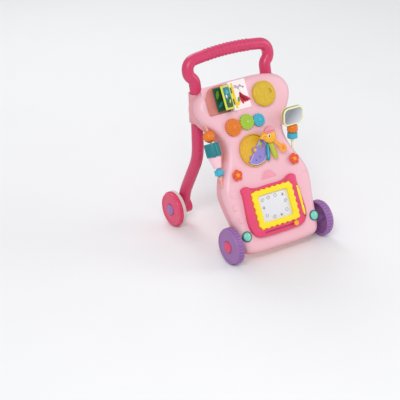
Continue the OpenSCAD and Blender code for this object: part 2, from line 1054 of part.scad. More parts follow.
module flower_button(sx) {
    petal_r = flower_d * 0.24;
    color("#E5561E")
        on_panel()
            translate([sx * flower_x, flower_y, 0]) {
                translate([0, 0, flower_travel + 0.6])
                    union() {
                        cylinder(r = flower_d * 0.3, h = flower_top - flower_travel);
                        linear_extrude(flower_top - flower_travel - 1.5)
                            polygon(flower_outline(flower_d / 2 - petal_r, petal_r));
                    }
                translate([0, 0, -wall - 8])
                    cylinder(r = flower_stem_r, h = wall + 8 + flower_travel + 1);
                translate([0, 0, -wall - 9])
                    cylinder(r = flower_stem_r + 2, h = 4);
            }
}

module left_flower_button() {
    flower_button(-1);
}

module right_flower_button() {
    flower_button(1);
}

// Return spring under a button, drawn as the sleeve that its coils fill
spring_h = 12;
module button_spring(sx) {
    color("#C9CDD2")
        on_panel()
            translate([sx * flower_x, flower_y, -wall - 9 - rest_gap - spring_h])
                difference() {
                    cylinder(r = flower_stem_r, h = spring_h);
                    translate([0, 0, -1])
                        cylinder(r = flower_stem_r - 1.2, h = spring_h + 2);
                }
}

module left_button_spring() {
    button_spring(-1);
}

module right_button_spring() {
    button_spring(1);
}

// ---------------------------------------------------------------- roller in the left waist
rod_x = -118;
rod_z = -15;
rod_r = 2.5;
rod_y0 = 134;
rod_y1 = 306;
// Each piece on the rod: its lowest and highest place along it
bead_span = [165.5, 186.5];
cone_span = [187.5, 214.5];
drum_span = [215.5, 248.5];
ball_span = [249.5, 279.5];
drum_r = 19;

// Turns a shape drawn along z so that it stands on the rod at height y
module on_rod(y) {
    on_panel()
        translate([rod_x, y, rod_z])
            rotate([-90, 0, 0])
                children();
}

module rod_bore(h) {
    translate([0, 0, -1])
        cylinder(r = rod_r + run_gap, h = h + 2);
}

module rod_holes() {
    translate([rod_x, rod_y0 - 1, rod_z])
        rotate([-90, 0, 0])
            cylinder(r = rod_r + run_gap, h = rod_y1 - rod_y0 + 2);
}

module roller_rod() {
    color("#C8D24A")
        on_rod(rod_y0)
            union() {
                cylinder(r = rod_r, h = rod_y1 - rod_y0);
                translate([0, 0, bead_span[0] - rod_y0 - 7.5])
                    cylinder(r1 = 4, r2 = 6, h = 7);
            }
}

module orange_ball() {
    h = ball_span[1] - ball_span[0];
    r = h / 2;
    color("#E8811F")
        on_rod(ball_span[0])
            difference() {
                translate([0, 0, r])
                    sphere(r = r);
                rod_bore(h);
            }
}

module teal_drum() {
    h = drum_span[1] - drum_span[0];
    color("#1F7A80")
        on_rod(drum_span[0])
            difference() {
                cylinder(r = drum_r, h = h);
                rod_bore(h);
            }
}

module pink_cone() {
    h = cone_span[1] - cone_span[0];
    color("#F2C6CF")
        on_rod(cone_span[0])
            difference() {
                cylinder(r1 = 10.5, r2 = drum_r - 2, h = h);
                rod_bore(h);
            }
}

module blue_bead() {
    h = bead_span[1] - bead_span[0];
    r = h / 2;
    color("#52B7CC")
        on_rod(bead_span[0])
            difference() {
                translate([0, 0, r])
                    sphere(r = r);
                rod_bore(h);
            }
}

// ---------------------------------------------------------------- mirror on the right
stem_foot = [101, 173.5, -21.6];
stem_r = 3;
stem_l = 95;
blue_span = [38, 54];
orange_span = [55, 72.5];
mirror_span = [74, 120];
mirror_w = 58;
mirror_t = 12;

// A frame on the stem's foot with z upright in the world
module on_stem(h) {
    on_panel()
        translate(stem_foot)
            rotate([lean - 90, 0, 0])
                translate([0, 0, h])
                    children();
}

module stem_hole() {
    translate(stem_foot)
        rotate([lean - 90, 0, 0])
            translate([0, 0, -1])
                cylinder(r = stem_r + run_gap, h = stem_l);
}

module mirror_stem() {
    color("#F0EFC8")
        on_stem(0)
            union() {
                cylinder(r = stem_r, h = stem_l);
                translate([0, 0, blue_span[0] - 6.5])
                    cylinder(r1 = 4, r2 = 6, h = 6);
            }
}

module stem_bead(s, r) {
    h = s[1] - s[0];
    bore = stem_r + run_gap;
    on_stem(s[0])
        rotate_extrude()
            polygon([[bore, 0], [r - 3, 0], [r, 4], [r, h - 4], [r - 3, h], [bore, h]]);
}

module mirror_blue_bead() {
    color("#52B7CC")
        stem_bead(blue_span, 13);
}

module mirror_orange_bead() {
    color("#E8811F")
        stem_bead(orange_span, 13.5);
}

mirror_rim = 4;
sheet_t = 1.2;
// The mirror's face, as a frame whose z points towards -Y
module on_mirror() {
    h = mirror_span[1] - mirror_span[0];
    on_stem(mirror_span[0])
        translate([0, -mirror_t / 2, h / 2])
            rotate([90, 0, 0])
                children();
}

module mirror_frame() {
    h = mirror_span[1] - mirror_span[0];
    color("#F0EFC8")
        difference() {
            on_mirror()
                difference() {
                    translate([0, 0, -mirror_t])
                        rounded_slab(mirror_w, h, mirror_t, 13);
                    translate([0, 0, -sheet_t - 0.8])
                        rounded_slab(mirror_w - 2 * mirror_rim, h - 2 * mirror_rim, 4, 13 - mirror_rim);
                }
            on_stem(mirror_span[0] - 1)
                cylinder(r = stem_r + run_gap, h = stem_l - mirror_span[0] + 1 + fit_gap);
        }
}

module mirror_sheet() {
    h = mirror_span[1] - mirror_span[0];
    color("#DDE3EA")
        on_mirror()
            translate([0, 0, -sheet_t - 0.7])
                rounded_slab(
                    mirror_w - 2 * mirror_rim - 0.4,
                    h - 2 * mirror_rim - 0.4,
                    sheet_t,
                    13 - mirror_rim
                );
}

// ---------------------------------------------------------------- drawing board
board_mid = [-6, 64];
// How far the board's cheeks stop short of its chin, and how much narrower the chin is
cheek_rise = 20;
chin_inset = 15;
bezel_w = screen_w + 32;
bezel_h = screen_h + 28;
bezel_floor = 5;
slot_y = board_mid.y - board_h / 2 + 11;
slot_w = 5;
knob_travel = 88;
knob_x = 41;
pen_x = board_mid.x + board_w / 2 - 9;
pen_y0 = 18;
pen_y1 = 96;
pen_r = 4;
pen_lift = 9;
ear_r = 15;

module board_frame() {
    color("#E0406F")
        on_panel()
            difference() {
                translate([board_mid.x, board_mid.y, rest_gap]) {
                    translate([0, cheek_rise / 2, 0])
                        rounded_slab(board_w, board_h - 16 - cheek_rise, board_t, 16);
                    for (sx = [-1, 1])
                        translate([sx * (board_w / 2 - ear_r - 5), board_h / 2 - ear_r - 3, 0])
                            cylinder(r = ear_r, h = board_t);
                    translate([0, -8, 0])
                        rounded_slab(board_w - 2 * chin_inset, board_h - 16, board_t, 16);
                }
                translate([board_mid.x, board_mid.y, bezel_floor])
                    rounded_slab(bezel_w + 2 * fit_gap, bezel_h + 2 * fit_gap, board_t, 12);
                translate([board_mid.x, slot_y, board_t - 3])
                    rounded_slab(knob_travel + 12, slot_w, 5, slot_w / 2 - 0.1);
                translate([pen_x, pen_y0 - 2, pen_lift])
                    rotate([-90, 0, 0])
                        cylinder(r = pen_r + 0.6, h = pen_y1 - pen_y0 + 4);
                translate([pen_x - pen_r - 0.6, pen_y0 - 2, pen_lift])
                    cube([2 * pen_r + 1.2, pen_y1 - pen_y0 + 4, board_t]);
            }
}

module board_bezel() {
    color("#F7DF1E")
        on_panel()
            translate([board_mid.x, board_mid.y, bezel_floor + rest_gap])
                difference() {
                    rounded_slab(bezel_w, bezel_h, board_t - bezel_floor + 1.5, 12);
                    translate([0, 0, -1])
                        rounded_slab(screen_w - 6, screen_h - 6, board_t, 6);
                    translate([0, 0, -1])
                        rounded_slab(screen_w + 0.6, screen_h + 0.6, 4, 6);
                }
}

module board_screen() {
    color("#E9E6EA")
        on_panel()
            translate([board_mid.x, board_mid.y, bezel_floor + rest_gap])
                rounded_slab(screen_w, screen_h, 2.8, 6);
}

module eraser_knob() {
    color("#F5A623")
        on_panel()
            translate([board_mid.x + knob_x, slot_y, board_t - 3 + 0.4]) {
                cylinder(r = slot_w / 2 - fit_gap, h = 3.6);
                translate([0, 0, 3.4])
                    cylinder(r = 6.5, h = 5);
            }
}

module drawing_pen() {
    color("#F2D32B")
        on_panel()
            translate([pen_x, pen_y0, pen_lift + 0.2])
                rotate([-90, 0, 0]) {
                    translate([0, 0, 10])
                        cylinder(r = pen_r, h = pen_y1 - pen_y0 - 10);
                    cylinder(r1 = 1, r2 = pen_r, h = 10);
                }
}

// ---------------------------------------------------------------- headlights
module headlights() {
    color("#7FCFBB")
        on_panel()
            for (sx = [-1, 1])
                translate([sx * headlight_at.x, headlight_at.y, 0]) {
                    translate([0, 0, -front_round + 3])
                        cylinder(r = headlight_r - 2 - fit_gap, h = front_round - 2.7);
                    translate([0, 0, 0.2])
                        cylinder(r = headlight_r, h = 3);
                    translate([0, 0, 3])
                        cylinder(r1 = headlight_r - 1.5, r2 = headlight_r - 6, h = 4);
                }
}

front_shell();
rear_shell();
battery_door();
battery_cells();
battery_contacts();
circuit_board();
speaker();
power_switch();
case_screws();
handle();
left_rear_leg();
right_rear_leg();
frame_screws();
front_axle();
rear_axles();
front_left_wheel();
front_right_wheel();
rear_left_wheel();
rear_right_wheel();
front_left_hub_cap();
front_right_hub_cap();
rear_left_hub_cap();
rear_right_hub_cap();
rear_left_grip_ring();
rear_right_grip_ring();
book_base();
book_pin();
book_back_page();
book_front_page();
dial();
orange_gear();
green_gear();
blue_gear();
panel_pins();
picture_disc();
disc_cover();
key_hub();
teal_key();
olive_key();
orange_key();
left_flower_button();
right_flower_button();
left_button_spring();
right_button_spring();
roller_rod();
orange_ball();
teal_drum();
pink_cone();
blue_bead();
mirror_stem();
mirror_frame();
mirror_sheet();
mirror_orange_bead();
mirror_blue_bead();
board_frame();
board_bezel();
board_screen();
eraser_knob();
drawing_pen();
headlights();
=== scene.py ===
import json
import math

import bmesh
import bpy
from bpy.props import FloatProperty, FloatVectorProperty, IntProperty, PointerProperty
from mathutils import Matrix, Vector


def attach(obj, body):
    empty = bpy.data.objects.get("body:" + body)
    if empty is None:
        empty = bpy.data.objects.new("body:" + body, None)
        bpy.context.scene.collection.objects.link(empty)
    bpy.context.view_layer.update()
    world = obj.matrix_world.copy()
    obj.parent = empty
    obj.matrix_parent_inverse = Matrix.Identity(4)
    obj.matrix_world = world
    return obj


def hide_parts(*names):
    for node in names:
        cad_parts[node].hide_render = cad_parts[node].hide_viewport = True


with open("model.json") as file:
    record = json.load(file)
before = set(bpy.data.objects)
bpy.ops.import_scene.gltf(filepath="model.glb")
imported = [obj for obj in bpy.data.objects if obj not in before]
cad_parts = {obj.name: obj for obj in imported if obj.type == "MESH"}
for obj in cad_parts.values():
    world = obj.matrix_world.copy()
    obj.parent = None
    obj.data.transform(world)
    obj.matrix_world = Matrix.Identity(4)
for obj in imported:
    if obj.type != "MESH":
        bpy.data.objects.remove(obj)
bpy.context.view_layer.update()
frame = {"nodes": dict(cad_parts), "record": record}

bl_info = {
    "name": "Baby walker finish",
    "version": (1, 0, 0),
    "blender": (4, 5, 0),
    "location": "3D View > Sidebar > Walker",
    "description": "Finishes a packed baby walker: moulded shells, toys, wheels and stage",
    "category": "Object",
}

MM = 0.001
BORE = 2.6
RECORD = frame["record"]

# The body of each CAD node
NODE_BODY = {n: b for b, nodes in RECORD["behaviour"]["bodies"].items() for n in nodes}

# Frames that the pieces are drawn in: each takes its local z to the way the piece faces
LEAN = math.radians(26)
PANEL = Matrix.Rotation(math.pi / 2 - LEAN, 4, "X")
REAR = PANEL @ Matrix.Rotation(-math.radians(3.02), 4, "X") @ Matrix.Rotation(math.pi, 4, "Y")
ROD = PANEL @ Matrix.Rotation(-math.pi / 2, 4, "X")
STEM = Matrix.Identity(4)
MIRROR = Matrix.Rotation(math.pi / 2, 4, "X")
LEFT = Matrix.Rotation(-math.pi / 2, 4, "Y")
RIGHT = Matrix.Rotation(math.pi / 2, 4, "Y")
HANDLE_TILT = Matrix.Rotation(-math.radians(12), 4, "X")


# ---------------------------------------------------------------- colour and materials
def linear(code):
    """Linear colour from an sRGB hex code."""
    channels = [int(code[i : i + 2], 16) / 255 for i in (1, 3, 5)]
    return tuple(c / 12.92 if c <= 0.04045 else ((c + 0.055) / 1.055) ** 2.4 for c in channels)


def wire(tree, node, inputs):
    """Fills a node's inputs: a socket, or a node's first socket, is linked and a value is written."""
    for key, value in inputs.items():
        if isinstance(value, bpy.types.Node):
            value = value.outputs[0]
        if isinstance(value, bpy.types.NodeSocket):
            tree.links.new(value, node.inputs[key])
        else:
            node.inputs[key].default_value = value
    return node


def put(tree, kind, inputs=None, **settings):
    """Adds a node, sets its properties and fills its inputs."""
    node = tree.nodes.new(kind)
    for key, value in settings.items():
        setattr(node, key, value)
    return wire(tree, node, inputs or {})


def blend(tree, factor, first, second):
    """Goes from the first colour to the second one by factor."""
    return put(tree, "ShaderNodeMix", {0: factor, 6: first, 7: second}, data_type="RGBA").outputs[2]


def span(tree, value, low, high, start=0.0, end=1.0):
    """Takes low to high over to start to end."""
    ends = {"From Min": low, "From Max": high, "To Min": start, "To Max": end}
    return put(tree, "ShaderNodeMapRange", {"Value": value, **ends}).outputs["Result"]


def noise(tree, place, cell_mm, detail):
    """Soft noise whose patches are about cell_mm across."""
    inputs = {"Vector": place, "Scale": 1 / (cell_mm * MM), "Detail": detail}
    return put(tree, "ShaderNodeTexNoise", inputs).outputs["Fac"]


def shade(colour, factor):
    """The colour made lighter or darker, with its alpha."""
    return tuple(min(1.0, c * factor) for c in colour[:3]) + (1.0,)


def blank(name):
    """An empty node material, its Principled shader and its Object coordinates."""
    material = bpy.data.materials.new(name)
    material.use_nodes = True
    tree = material.node_tree
    tree.nodes.clear()
    shader = put(tree, "ShaderNodeBsdfPrincipled")
    put(tree, "ShaderNodeOutputMaterial", {"Surface": shader.outputs["BSDF"]})
    return material, tree, shader, put(tree, "ShaderNodeTexCoord").outputs["Object"]


def once(paint):
    """Makes a material of one name only the first time that it is asked for."""

    def found(name, *rest, **kind):
        return bpy.data.materials.get(name) or paint(name, *rest, **kind)

    return found


@once
def moulded(name, colour, rough=0.32, grain_mm=1.1, depth_mm=0.05, patch_mm=16, mottle=0.05, coat=0, deep=None):
    """Injection-moulded plastic: even colour with faint flow patches, a fine spark-eroded grain
    and gloss that varies where hands have polished it. Where a piece carries the attribute "tone",
    the colour goes over to deep: painted shade, a deeper pink where the piece's own walls shade it."""
    material, tree, shader, place = blank(name)
    patches = noise(tree, place, patch_mm, 2.0)
    tint = blend(tree, patches, shade(colour, 1 - mottle), shade(colour, 1 + mottle))
    # Painted shade: the colour mixes towards deep by the piece's "tone" attribute
    if deep:
        tone = put(tree, "ShaderNodeAttribute", attribute_name="tone")
        tint = blend(tree, tone.outputs["Fac"], tint, (*deep, 1))
    grain = noise(tree, place, grain_mm, 3.0)
    bump = put(tree, "ShaderNodeBump", {"Height": grain, "Strength": 0.35, "Distance": depth_mm * MM})
    look = {
        "Base Color": tint,
        "Roughness": span(tree, patches, 0.3, 0.7, rough - 0.05, rough + 0.07),
        "Normal": bump.outputs["Normal"],
        "IOR": 1.49,
        "Coat Weight": coat,
        "Coat Roughness": 0.12,
    }
    wire(tree, shader, look)
    return material


@once
def screen_sheet(name, colour, ink):
    """Magnetic drawing screen: milky polycarbonate over a honeycomb of cells, 2.6 mm across."""
    material, tree, shader, place = blank(name)
    honeycomb = {"Vector": place, "Scale": 1 / (2.6 * MM), "Randomness": 0.15}
    cells = put(tree, "ShaderNodeTexVoronoi", honeycomb, feature="DISTANCE_TO_EDGE")
    tint = blend(tree, span(tree, cells.outputs["Distance"], 0.02, 0.12), (*ink, 1), (*colour, 1))
    wire(tree, shader, {"Base Color": tint, "Roughness": 0.3, "Coat Weight": 0.4, "Coat Roughness": 0.15})
    return material


@once
def drawn_steel(name, colour=(0.55, 0.56, 0.58), rough=0.28):
    """Drawn steel bar: bright metal with fine lines along its length."""
    material, tree, shader, place = blank(name)
    stretch = put(tree, "ShaderNodeMapping", {"Vector": place, "Scale": (0.05, 1.0, 1.0)})
    gloss = span(tree, noise(tree, stretch.outputs["Vector"], 0.6, 2.0), 0, 1, rough - 0.08, rough + 0.12)
    wire(tree, shader, {"Roughness": gloss, "Base Color": (*colour, 1), "Metallic": 1.0})
    return material


@once
def silvered_sheet(name):
    """Silvered acrylic mirror: clear reflection with light haze, and a painted reflection: its colour goes from
    near white at one corner to dark grey at the other.
    """
    material, tree, shader, place = blank(name)
    gloss = span(tree, noise(tree, place, 9, 4.0), 0, 1, 0.04, 0.16)
    parts = put(tree, "ShaderNodeSeparateXYZ", {"Vector": place})
    # Painted reflection: the colour goes from near white to dark grey across the sheet
    lean = put(tree, "ShaderNodeMath", {0: parts.outputs["Z"], 1: parts.outputs["X"]}, operation="SUBTRACT")
    painted_reflection = span(tree, lean.outputs["Value"], 0.15, 0.215)
    tint = blend(tree, painted_reflection, (0.86, 0.87, 0.93, 1), (0.30, 0.31, 0.34, 1))
    wire(tree, shader, {"Base Color": tint, "Roughness": gloss, "Metallic": 1.0})
    return material


# ---------------------------------------------------------------- shapes, drawn in millimetres
def around(count):
    """Angles of even steps round a circle."""
    return [2 * math.pi * k / count for k in range(count)]


def quarter(steps):
    """Angles of even steps through a quarter turn."""
    return [math.pi / 2 * k / steps for k in range(steps + 1)]


def spoke(r, a):
    """The point at radius r and angle a."""
    return r * math.cos(a), r * math.sin(a)


def lathe(profile, count=72):
    """Turned shape from (radius, height) pairs; a radius of 0 closes an end in one point."""
    verts, rows, faces = [], [], []
    for r, z in profile:
        if r < 1e-6:
            rows.append([len(verts)])
            verts.append((0, 0, z))
        else:
            rows.append(list(range(len(verts), len(verts) + count)))
            verts += [(*spoke(r, a), z) for a in around(count)]
    for low, high in zip(rows, rows[1:]):
        for k in range(count):
            j = (k + 1) % count
            quad = [low[k % len(low)], low[j % len(low)], high[j % len(high)], high[k % len(high)]]
            face = list(dict.fromkeys(quad))
            if len(face) > 2:
                faces.append(face)
    return verts, faces


def turned_ring(profile, count=72):
    """Turned shape whose (radius, height) section is a closed loop."""
    n = len(profile)
    verts = [(*spoke(r, a), z) for a in around(count) for r, z in profile]
    faces = [
        (k * n + i, (k + 1) % count * n + i, (k + 1) % count * n + (i + 1) % n, k * n + (i + 1) % n)
        for k in range(count)
        for i in range(n)
    ]
    return verts, faces


def wrapped(loops):
    """Skin through loops of the same number of points, from the last one back to the first."""
    n, m = len(loops[0]), len(loops)
    faces = [
        (i * n + k, i * n + (k + 1) % n, (i + 1) % m * n + (k + 1) % n, (i + 1) % m * n + k)
        for i in range(m)
        for k in range(n)
    ]
    return [p for loop in loops for p in loop], faces


def stack(loops):
    """Skin through loops of the same number of points, closed at both ends."""
    n = len(loops[0])
    verts, faces = wrapped(loops)
    last = (len(loops) - 1) * n
    return verts, faces[:last] + [tuple(reversed(range(n))), tuple(range(last, last + n))]


def inset(loop, d):
    """Moves a counter-clockwise outline inwards by d, point by point."""
    moved = []
    for i, (x, y) in enumerate(loop):
        (ax, ay), (bx, by) = loop[i - 1], loop[(i + 1) % len(loop)]
        tx, ty = bx - ax, by - ay
        long = math.hypot(tx, ty) or 1
        moved.append((x - ty / long * d, y + tx / long * d))
    return moved


def level(loop, d, z):
    """The outline moved inwards by d, at height z."""
    return [(x, y, z) for x, y in inset(loop, d)]


def slab(loop, z0, z1, top=1.0, bottom=0.4, steps=4):
    """Plate with its outline's edges rounded."""
    turns = quarter(steps)
    loops = [level(loop, bottom * (1 - math.sin(a)), z0 + bottom * (1 - math.cos(a))) for a in turns]
    loops += [level(loop, top * (1 - math.cos(a)), z1 - top * (1 - math.sin(a))) for a in turns]
    return stack(loops)


def hole_in(outer, inner, z0, z1, edge, steps=4):
    """Plate between two outlines of the same point count, with rounded upper edges."""
    turns = quarter(steps)
    loops = [level(outer, edge * (1 - math.cos(a)), z1 - edge * (1 - math.sin(a))) for a in turns]
    loops += [level(inner, -edge * (1 - math.cos(a)), z1 - edge * (1 - math.sin(a))) for a in reversed(turns)]
    loops += [[(x, y, z0) for x, y in inner], [(x, y, z0) for x, y in outer]]
    return wrapped(loops)


def rounded(w, h, r, steps=8, x=0.0, y=0.0):
    """Rounded rectangle, counter-clockwise."""
    loop = []
    for q, (sx, sy) in enumerate(((1, 1), (-1, 1), (-1, -1), (1, -1))):
        for k in range(steps + 1):
            dx, dy = spoke(r, math.pi / 2 * (q + k / steps))
            loop.append((x + sx * (w / 2 - r) + dx, y + sy * (h / 2 - r) + dy))
    return loop


def smooth(points, n=6):
    """Closed Catmull-Rom curve through the points."""
    m = len(points)
    curve = []
    for i in range(m):
        a, b, c, d = (Vector(points[(i + k - 1) % m]) for k in range(4))
        for t in [k / n for k in range(n)]:
            cubic = (2 * a - 5 * b + 4 * c - d) * t * t + (3 * b - a - 3 * c + d) * t**3
            curve.append(tuple(0.5 * (2 * b + (c - a) * t + cubic)))
    return curve


def shifted(shape, x=0.0, y=0.0, z=0.0, turn=0.0, size=1.0):
    """The shape turned about z, scaled and moved."""
    verts, faces = shape
    c, s = math.cos(turn) * size, math.sin(turn) * size
    return [(x + p[0] * c - p[1] * s, y + p[0] * s + p[1] * c, z + p[2] * size) for p in verts], faces


def cord(points, r, count=8, taper=1.0):
    """Round bead of moulding along points, with domed ends."""
    pts = [Vector(p) for p in points]
    last = len(pts) - 1
    loops = []
    for i, p in enumerate(pts):
        along = (pts[min(i + 1, last)] - pts[max(i - 1, 0)]).normalized()
        u = along.cross(Vector((0, 0, 1)))
        u = (u if u.length > 1e-3 else along.cross(Vector((0, 1, 0)))).normalized()
        v = u.cross(along)
        rr = r * (1 + (taper - 1) * i / last) * (0.45 if i in (0, last) else 1)
        loops.append([tuple(p + (u * math.cos(a) + v * math.sin(a)) * rr) for a in around(count)])
    return stack(loops)


def polar(r, height, rings=26, count=96, z0=0.0):
    """Disc whose top follows height(x, y); the skirt goes down to z0."""
    verts = [(0, 0, height(0, 0))]
    for i in range(1, rings + 1):
        spots = [spoke(r * math.sin(math.pi / 2 * i / rings), a) for a in around(count)]
        verts += [(x, y, height(x, y)) for x, y in spots]
    verts += [(*spoke(r, a), z0) for a in around(count)]
    faces = [(0, 1 + k, 1 + (k + 1) % count) for k in range(count)]
    for i in range(rings):
        a, b = 1 + i * count, 1 + (i + 1) * count
        faces += [(a + k, b + k, b + (k + 1) % count, a + (k + 1) % count) for k in range(count)]
    last = 1 + rings * count
    faces.append(tuple(last + k for k in reversed(range(count))))
    return verts, faces


def dome(r, h, z0=0.0, count=48, steps=8):
    """Half ball of height h on a flat base."""
    curve = [(r * math.cos(a), z0 + h * math.sin(a)) for a in quarter(steps)[1:-1]]
    return lathe([(0, z0), (r, z0)] + curve + [(0, z0 + h)], count)


def ball(r, z=0.0, squash=1.0, count=48, steps=20):
    """Ball about height z, flattened by squash."""
    turns = [math.pi * k / steps for k in range(steps + 1)]
    return lathe([(r * math.sin(a), z - r * squash * math.cos(a)) for a in turns], count)


def bead_section(r, gap, low, steps, ends):
    """Section of a bored bead of radius r: its skin lies gap lower, and ends steps are cut off each end."""
    turns = [math.pi * k / steps for k in range(ends, steps - ends + 1)]
    curve = [((r - gap) * math.sin(a), r - (r - gap) * math.cos(a)) for a in turns]
    return [(BORE, low)] + curve + [(BORE, 2 * r - low)]


# ---------------------------------------------------------------- pieces
def seat(node, turn):
    """Frame of a CAD node, at the middle of its low side, and its size along that frame, in mm."""
    back = turn.inverted()
    points = [back @ v.co for v in frame["nodes"][node].data.vertices]
    low = Vector([min(p[i] for p in points) for i in range(3)])
    high = Vector([max(p[i] for p in points) for i in range(3)])
    middle = (low + high) / 2
    return turn @ Matrix.Translation((middle.x, middle.y, low.z)), (high - low) / MM


def hand_over(piece, node, replaces):
    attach(piece, NODE_BODY[node])
    if replaces:
        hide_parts(node)
    return piece


def settle(mesh, angle):
    """Merges doubles, turns faces outwards and smooths all but the sharp edges."""
    work = bmesh.new()
    work.from_mesh(mesh)
    bmesh.ops.remove_doubles(work, verts=work.verts, dist=1e-6)
    bmesh.ops.recalc_face_normals(work, faces=work.faces)
    work.to_mesh(mesh)
    work.free()
    mesh.shade_smooth()
    mesh.set_sharp_from_angle(angle=math.radians(angle))


def build(name, node, place, parts, replaces=True, angle=38):
    """One mesh from (shape, material) pairs, put in place and riding with its CAD node's body."""
    mesh = bpy.data.meshes.new(name)
    verts, faces, which, materials = [], [], [], []
    for (points, polygons), material in parts:
        if material not in materials:
            materials.append(material)
        start = len(verts)
        verts += [place @ (Vector(p) * MM) for p in points]
        faces += [tuple(i + start for i in polygon) for polygon in polygons]
        which += [materials.index(material)] * len(polygons)
    mesh.from_pydata(verts, [], faces)
    for material in materials:
        mesh.materials.append(material)
    mesh.polygons.foreach_set("material_index", which)
    settle(mesh, angle)
    piece = bpy.data.objects.new(name, mesh)
    bpy.context.scene.collection.objects.link(piece)
    return hand_over(piece, node, replaces)


def evaluated(piece):
    """Replaces a piece's mesh with its evaluated one and removes its modifiers."""
    mesh = bpy.data.meshes.new_from_object(piece.evaluated_get(bpy.context.evaluated_depsgraph_get()))
    piece.modifiers.clear()
    old, piece.data = piece.data, mesh
    bpy.data.meshes.remove(old)
    return piece


def reface(work, count):
    """Fills the largest flat sides again, so that no triangle in them is folded over another."""
    for _ in range(count):
        work.normal_update()
        work.faces.ensure_lookup_table()
        fresh = [face for face in work.faces if not face.tag]
        widest = max(fresh, key=lambda face: face.calc_area())
        point, normal = widest.verts[0].co.copy(), widest.normal.copy()
        flat = [
            face
            for face in fresh
            if abs(face.normal.dot(normal)) > 0.9995
            and all(abs((vert.co - point).dot(normal)) < 0.00004 for vert in face.verts)
        ]
        chosen = set(flat)
        rim = [
            edge
            for edge in {edge for face in flat for edge in face.edges}
            if sum(face in chosen for face in edge.link_faces) == 1
        ]
        bmesh.ops.delete(work, geom=flat, context="FACES_KEEP_BOUNDARY")
        filled = bmesh.ops.triangle_fill(work, use_beauty=True, use_dissolve=False, edges=rim, normal=normal)
        for face in filled["geom"]:
            if isinstance(face, bmesh.types.BMFace):
                face.tag = True
    bmesh.ops.recalc_face_normals(work, faces=work.faces)


def refine(node, material, edge_mm=0.5, angle=38, clean=1.0, swell_mm=0.0, tone=None, flats=0):
    """A finished copy of a CAD node: merged, with softened edges and smooth faces. swell_mm thickens
    it, tone(place) fills the attribute that its material reads, and flats counts the large flat
    sides that are filled again."""
    mesh = frame["nodes"][node].data.copy()
    mesh.name = node + "_finished"
    mesh.materials.clear()
    mesh.materials.append(material)
    work = bmesh.new()
    work.from_mesh(mesh)
    bmesh.ops.remove_doubles(work, verts=work.verts, dist=2e-6)
    if flats:
        reface(work, flats)
    if clean:
        bmesh.ops.dissolve_limit(work, angle_limit=math.radians(clean), verts=work.verts, edges=work.edges)
    for face in work.faces:
        face.material_index = 0
    if swell_mm:
        work.normal_update()
        for vert in work.verts:
            vert.co += vert.normal * swell_mm * MM
    work.to_mesh(mesh)
    work.free()
    if tone:
        values = mesh.attributes.new("tone", "FLOAT", "POINT").data
        for vert in mesh.vertices:
            values[vert.index].value = tone(vert.co)
    piece = bpy.data.objects.new(node + "_finished", mesh)
    bpy.context.scene.collection.objects.link(piece)
    if edge_mm:
        bevel = piece.modifiers.new("Edge", "BEVEL")
        bevel.width = edge_mm * MM
        bevel.segments = 3
        bevel.limit_method = "ANGLE"
        bevel.angle_limit = math.radians(angle)
        bevel.use_clamp_overlap = True
        evaluated(piece)
    piece.data.shade_smooth()
    piece.data.set_sharp_from_angle(angle=math.radians(angle))
    flat = piece.modifiers.new("Even", "WEIGHTED_NORMAL")
    flat.weight = 100
    flat.keep_sharp = True
    evaluated(piece)
    return hand_over(piece, node, True)


def repaint(node, material):
    """Gives a CAD node that stays as it is a finished material."""
    for slot in frame["nodes"][node].material_slots:
        slot.material = material


# ---------------------------------------------------------------- Geometry Nodes
def new_tree(name, inputs):
    """A tree with the named inputs after its geometry, and its input node."""
    tree = bpy.data.node_groups.new(name, "GeometryNodeTree")
    tree.interface.new_socket("Geometry", in_out="INPUT", socket_type="NodeSocketGeometry")
    for label, kind in inputs.items():
        tree.interface.new_socket(label, in_out="INPUT", socket_type="NodeSocket" + kind)
    tree.interface.new_socket("Geometry", in_out="OUTPUT", socket_type="NodeSocketGeometry")
    return tree, put(tree, "NodeGroupInput")


def end_tree(tree, source, places):
    """Ends a tree: instances are put on places, made real and given their material."""
    instances = put(tree, "GeometryNodeInstanceOnPoints", places)
    real = put(tree, "GeometryNodeRealizeInstances", {"Geometry": instances})
    smooth_faces = put(tree, "GeometryNodeSetShadeSmooth", {"Geometry": real})
    finish = {"Geometry": smooth_faces, "Material": source.outputs["Material"]}
    put(tree, "NodeGroupOutput", {"Geometry": put(tree, "GeometryNodeSetMaterial", finish)})
    return tree


def pads_tree():
    """Soft pads in a ring about z: tread ribs, drum ribs and grip marks."""
    inputs = {"Count": "Int", "Radius": "Float", "Pad size": "Vector", "Material": "Material"}
    tree, source = new_tree("Pads round an axle", inputs)
    given = source.outputs
    ring = put(tree, "GeometryNodeMeshCircle", {"Vertices": given["Count"], "Radius": given["Radius"]})
    pad = put(tree, "GeometryNodeMeshCube", {"Size": given["Pad size"]})
    soft = put(tree, "GeometryNodeSubdivisionSurface", {"Mesh": pad, "Level": 2, "Edge Crease": 0.55})
    where = put(tree, "GeometryNodeInputPosition")
    aim = put(tree, "FunctionNodeAlignRotationToVector", {"Vector": where}, axis="X")
    return end_tree(tree, source, {"Points": ring, "Instance": soft, "Rotation": aim})


def rings_tree():
    """Rings threaded along a path: the ribs of a moulded grip."""
    inputs = {"Count": "Int", "Ring radius": "Float", "Bead radius": "Float", "Material": "Material"}
    tree, source = new_tree("Rings along a path", inputs)
    given = source.outputs
    path = put(tree, "GeometryNodeMeshToCurve", {"Mesh": given["Geometry"]})
    spots = put(tree, "GeometryNodeResampleCurve", {"Curve": path, "Count": given["Count"]})
    circle = "GeometryNodeCurvePrimitiveCircle"
    hoop = put(tree, circle, {"Resolution": 48, "Radius": given["Ring radius"]})
    bead = put(tree, circle, {"Resolution": 10, "Radius": given["Bead radius"]})
    ring = put(tree, "GeometryNodeCurveToMesh", {"Curve": hoop, "Profile Curve": bead})
    way = put(tree, "GeometryNodeInputTangent")
    aim = put(tree, "FunctionNodeAlignRotationToVector", {"Vector": way}, axis="Z")
    return end_tree(tree, source, {"Points": spots, "Instance": ring, "Rotation": aim})


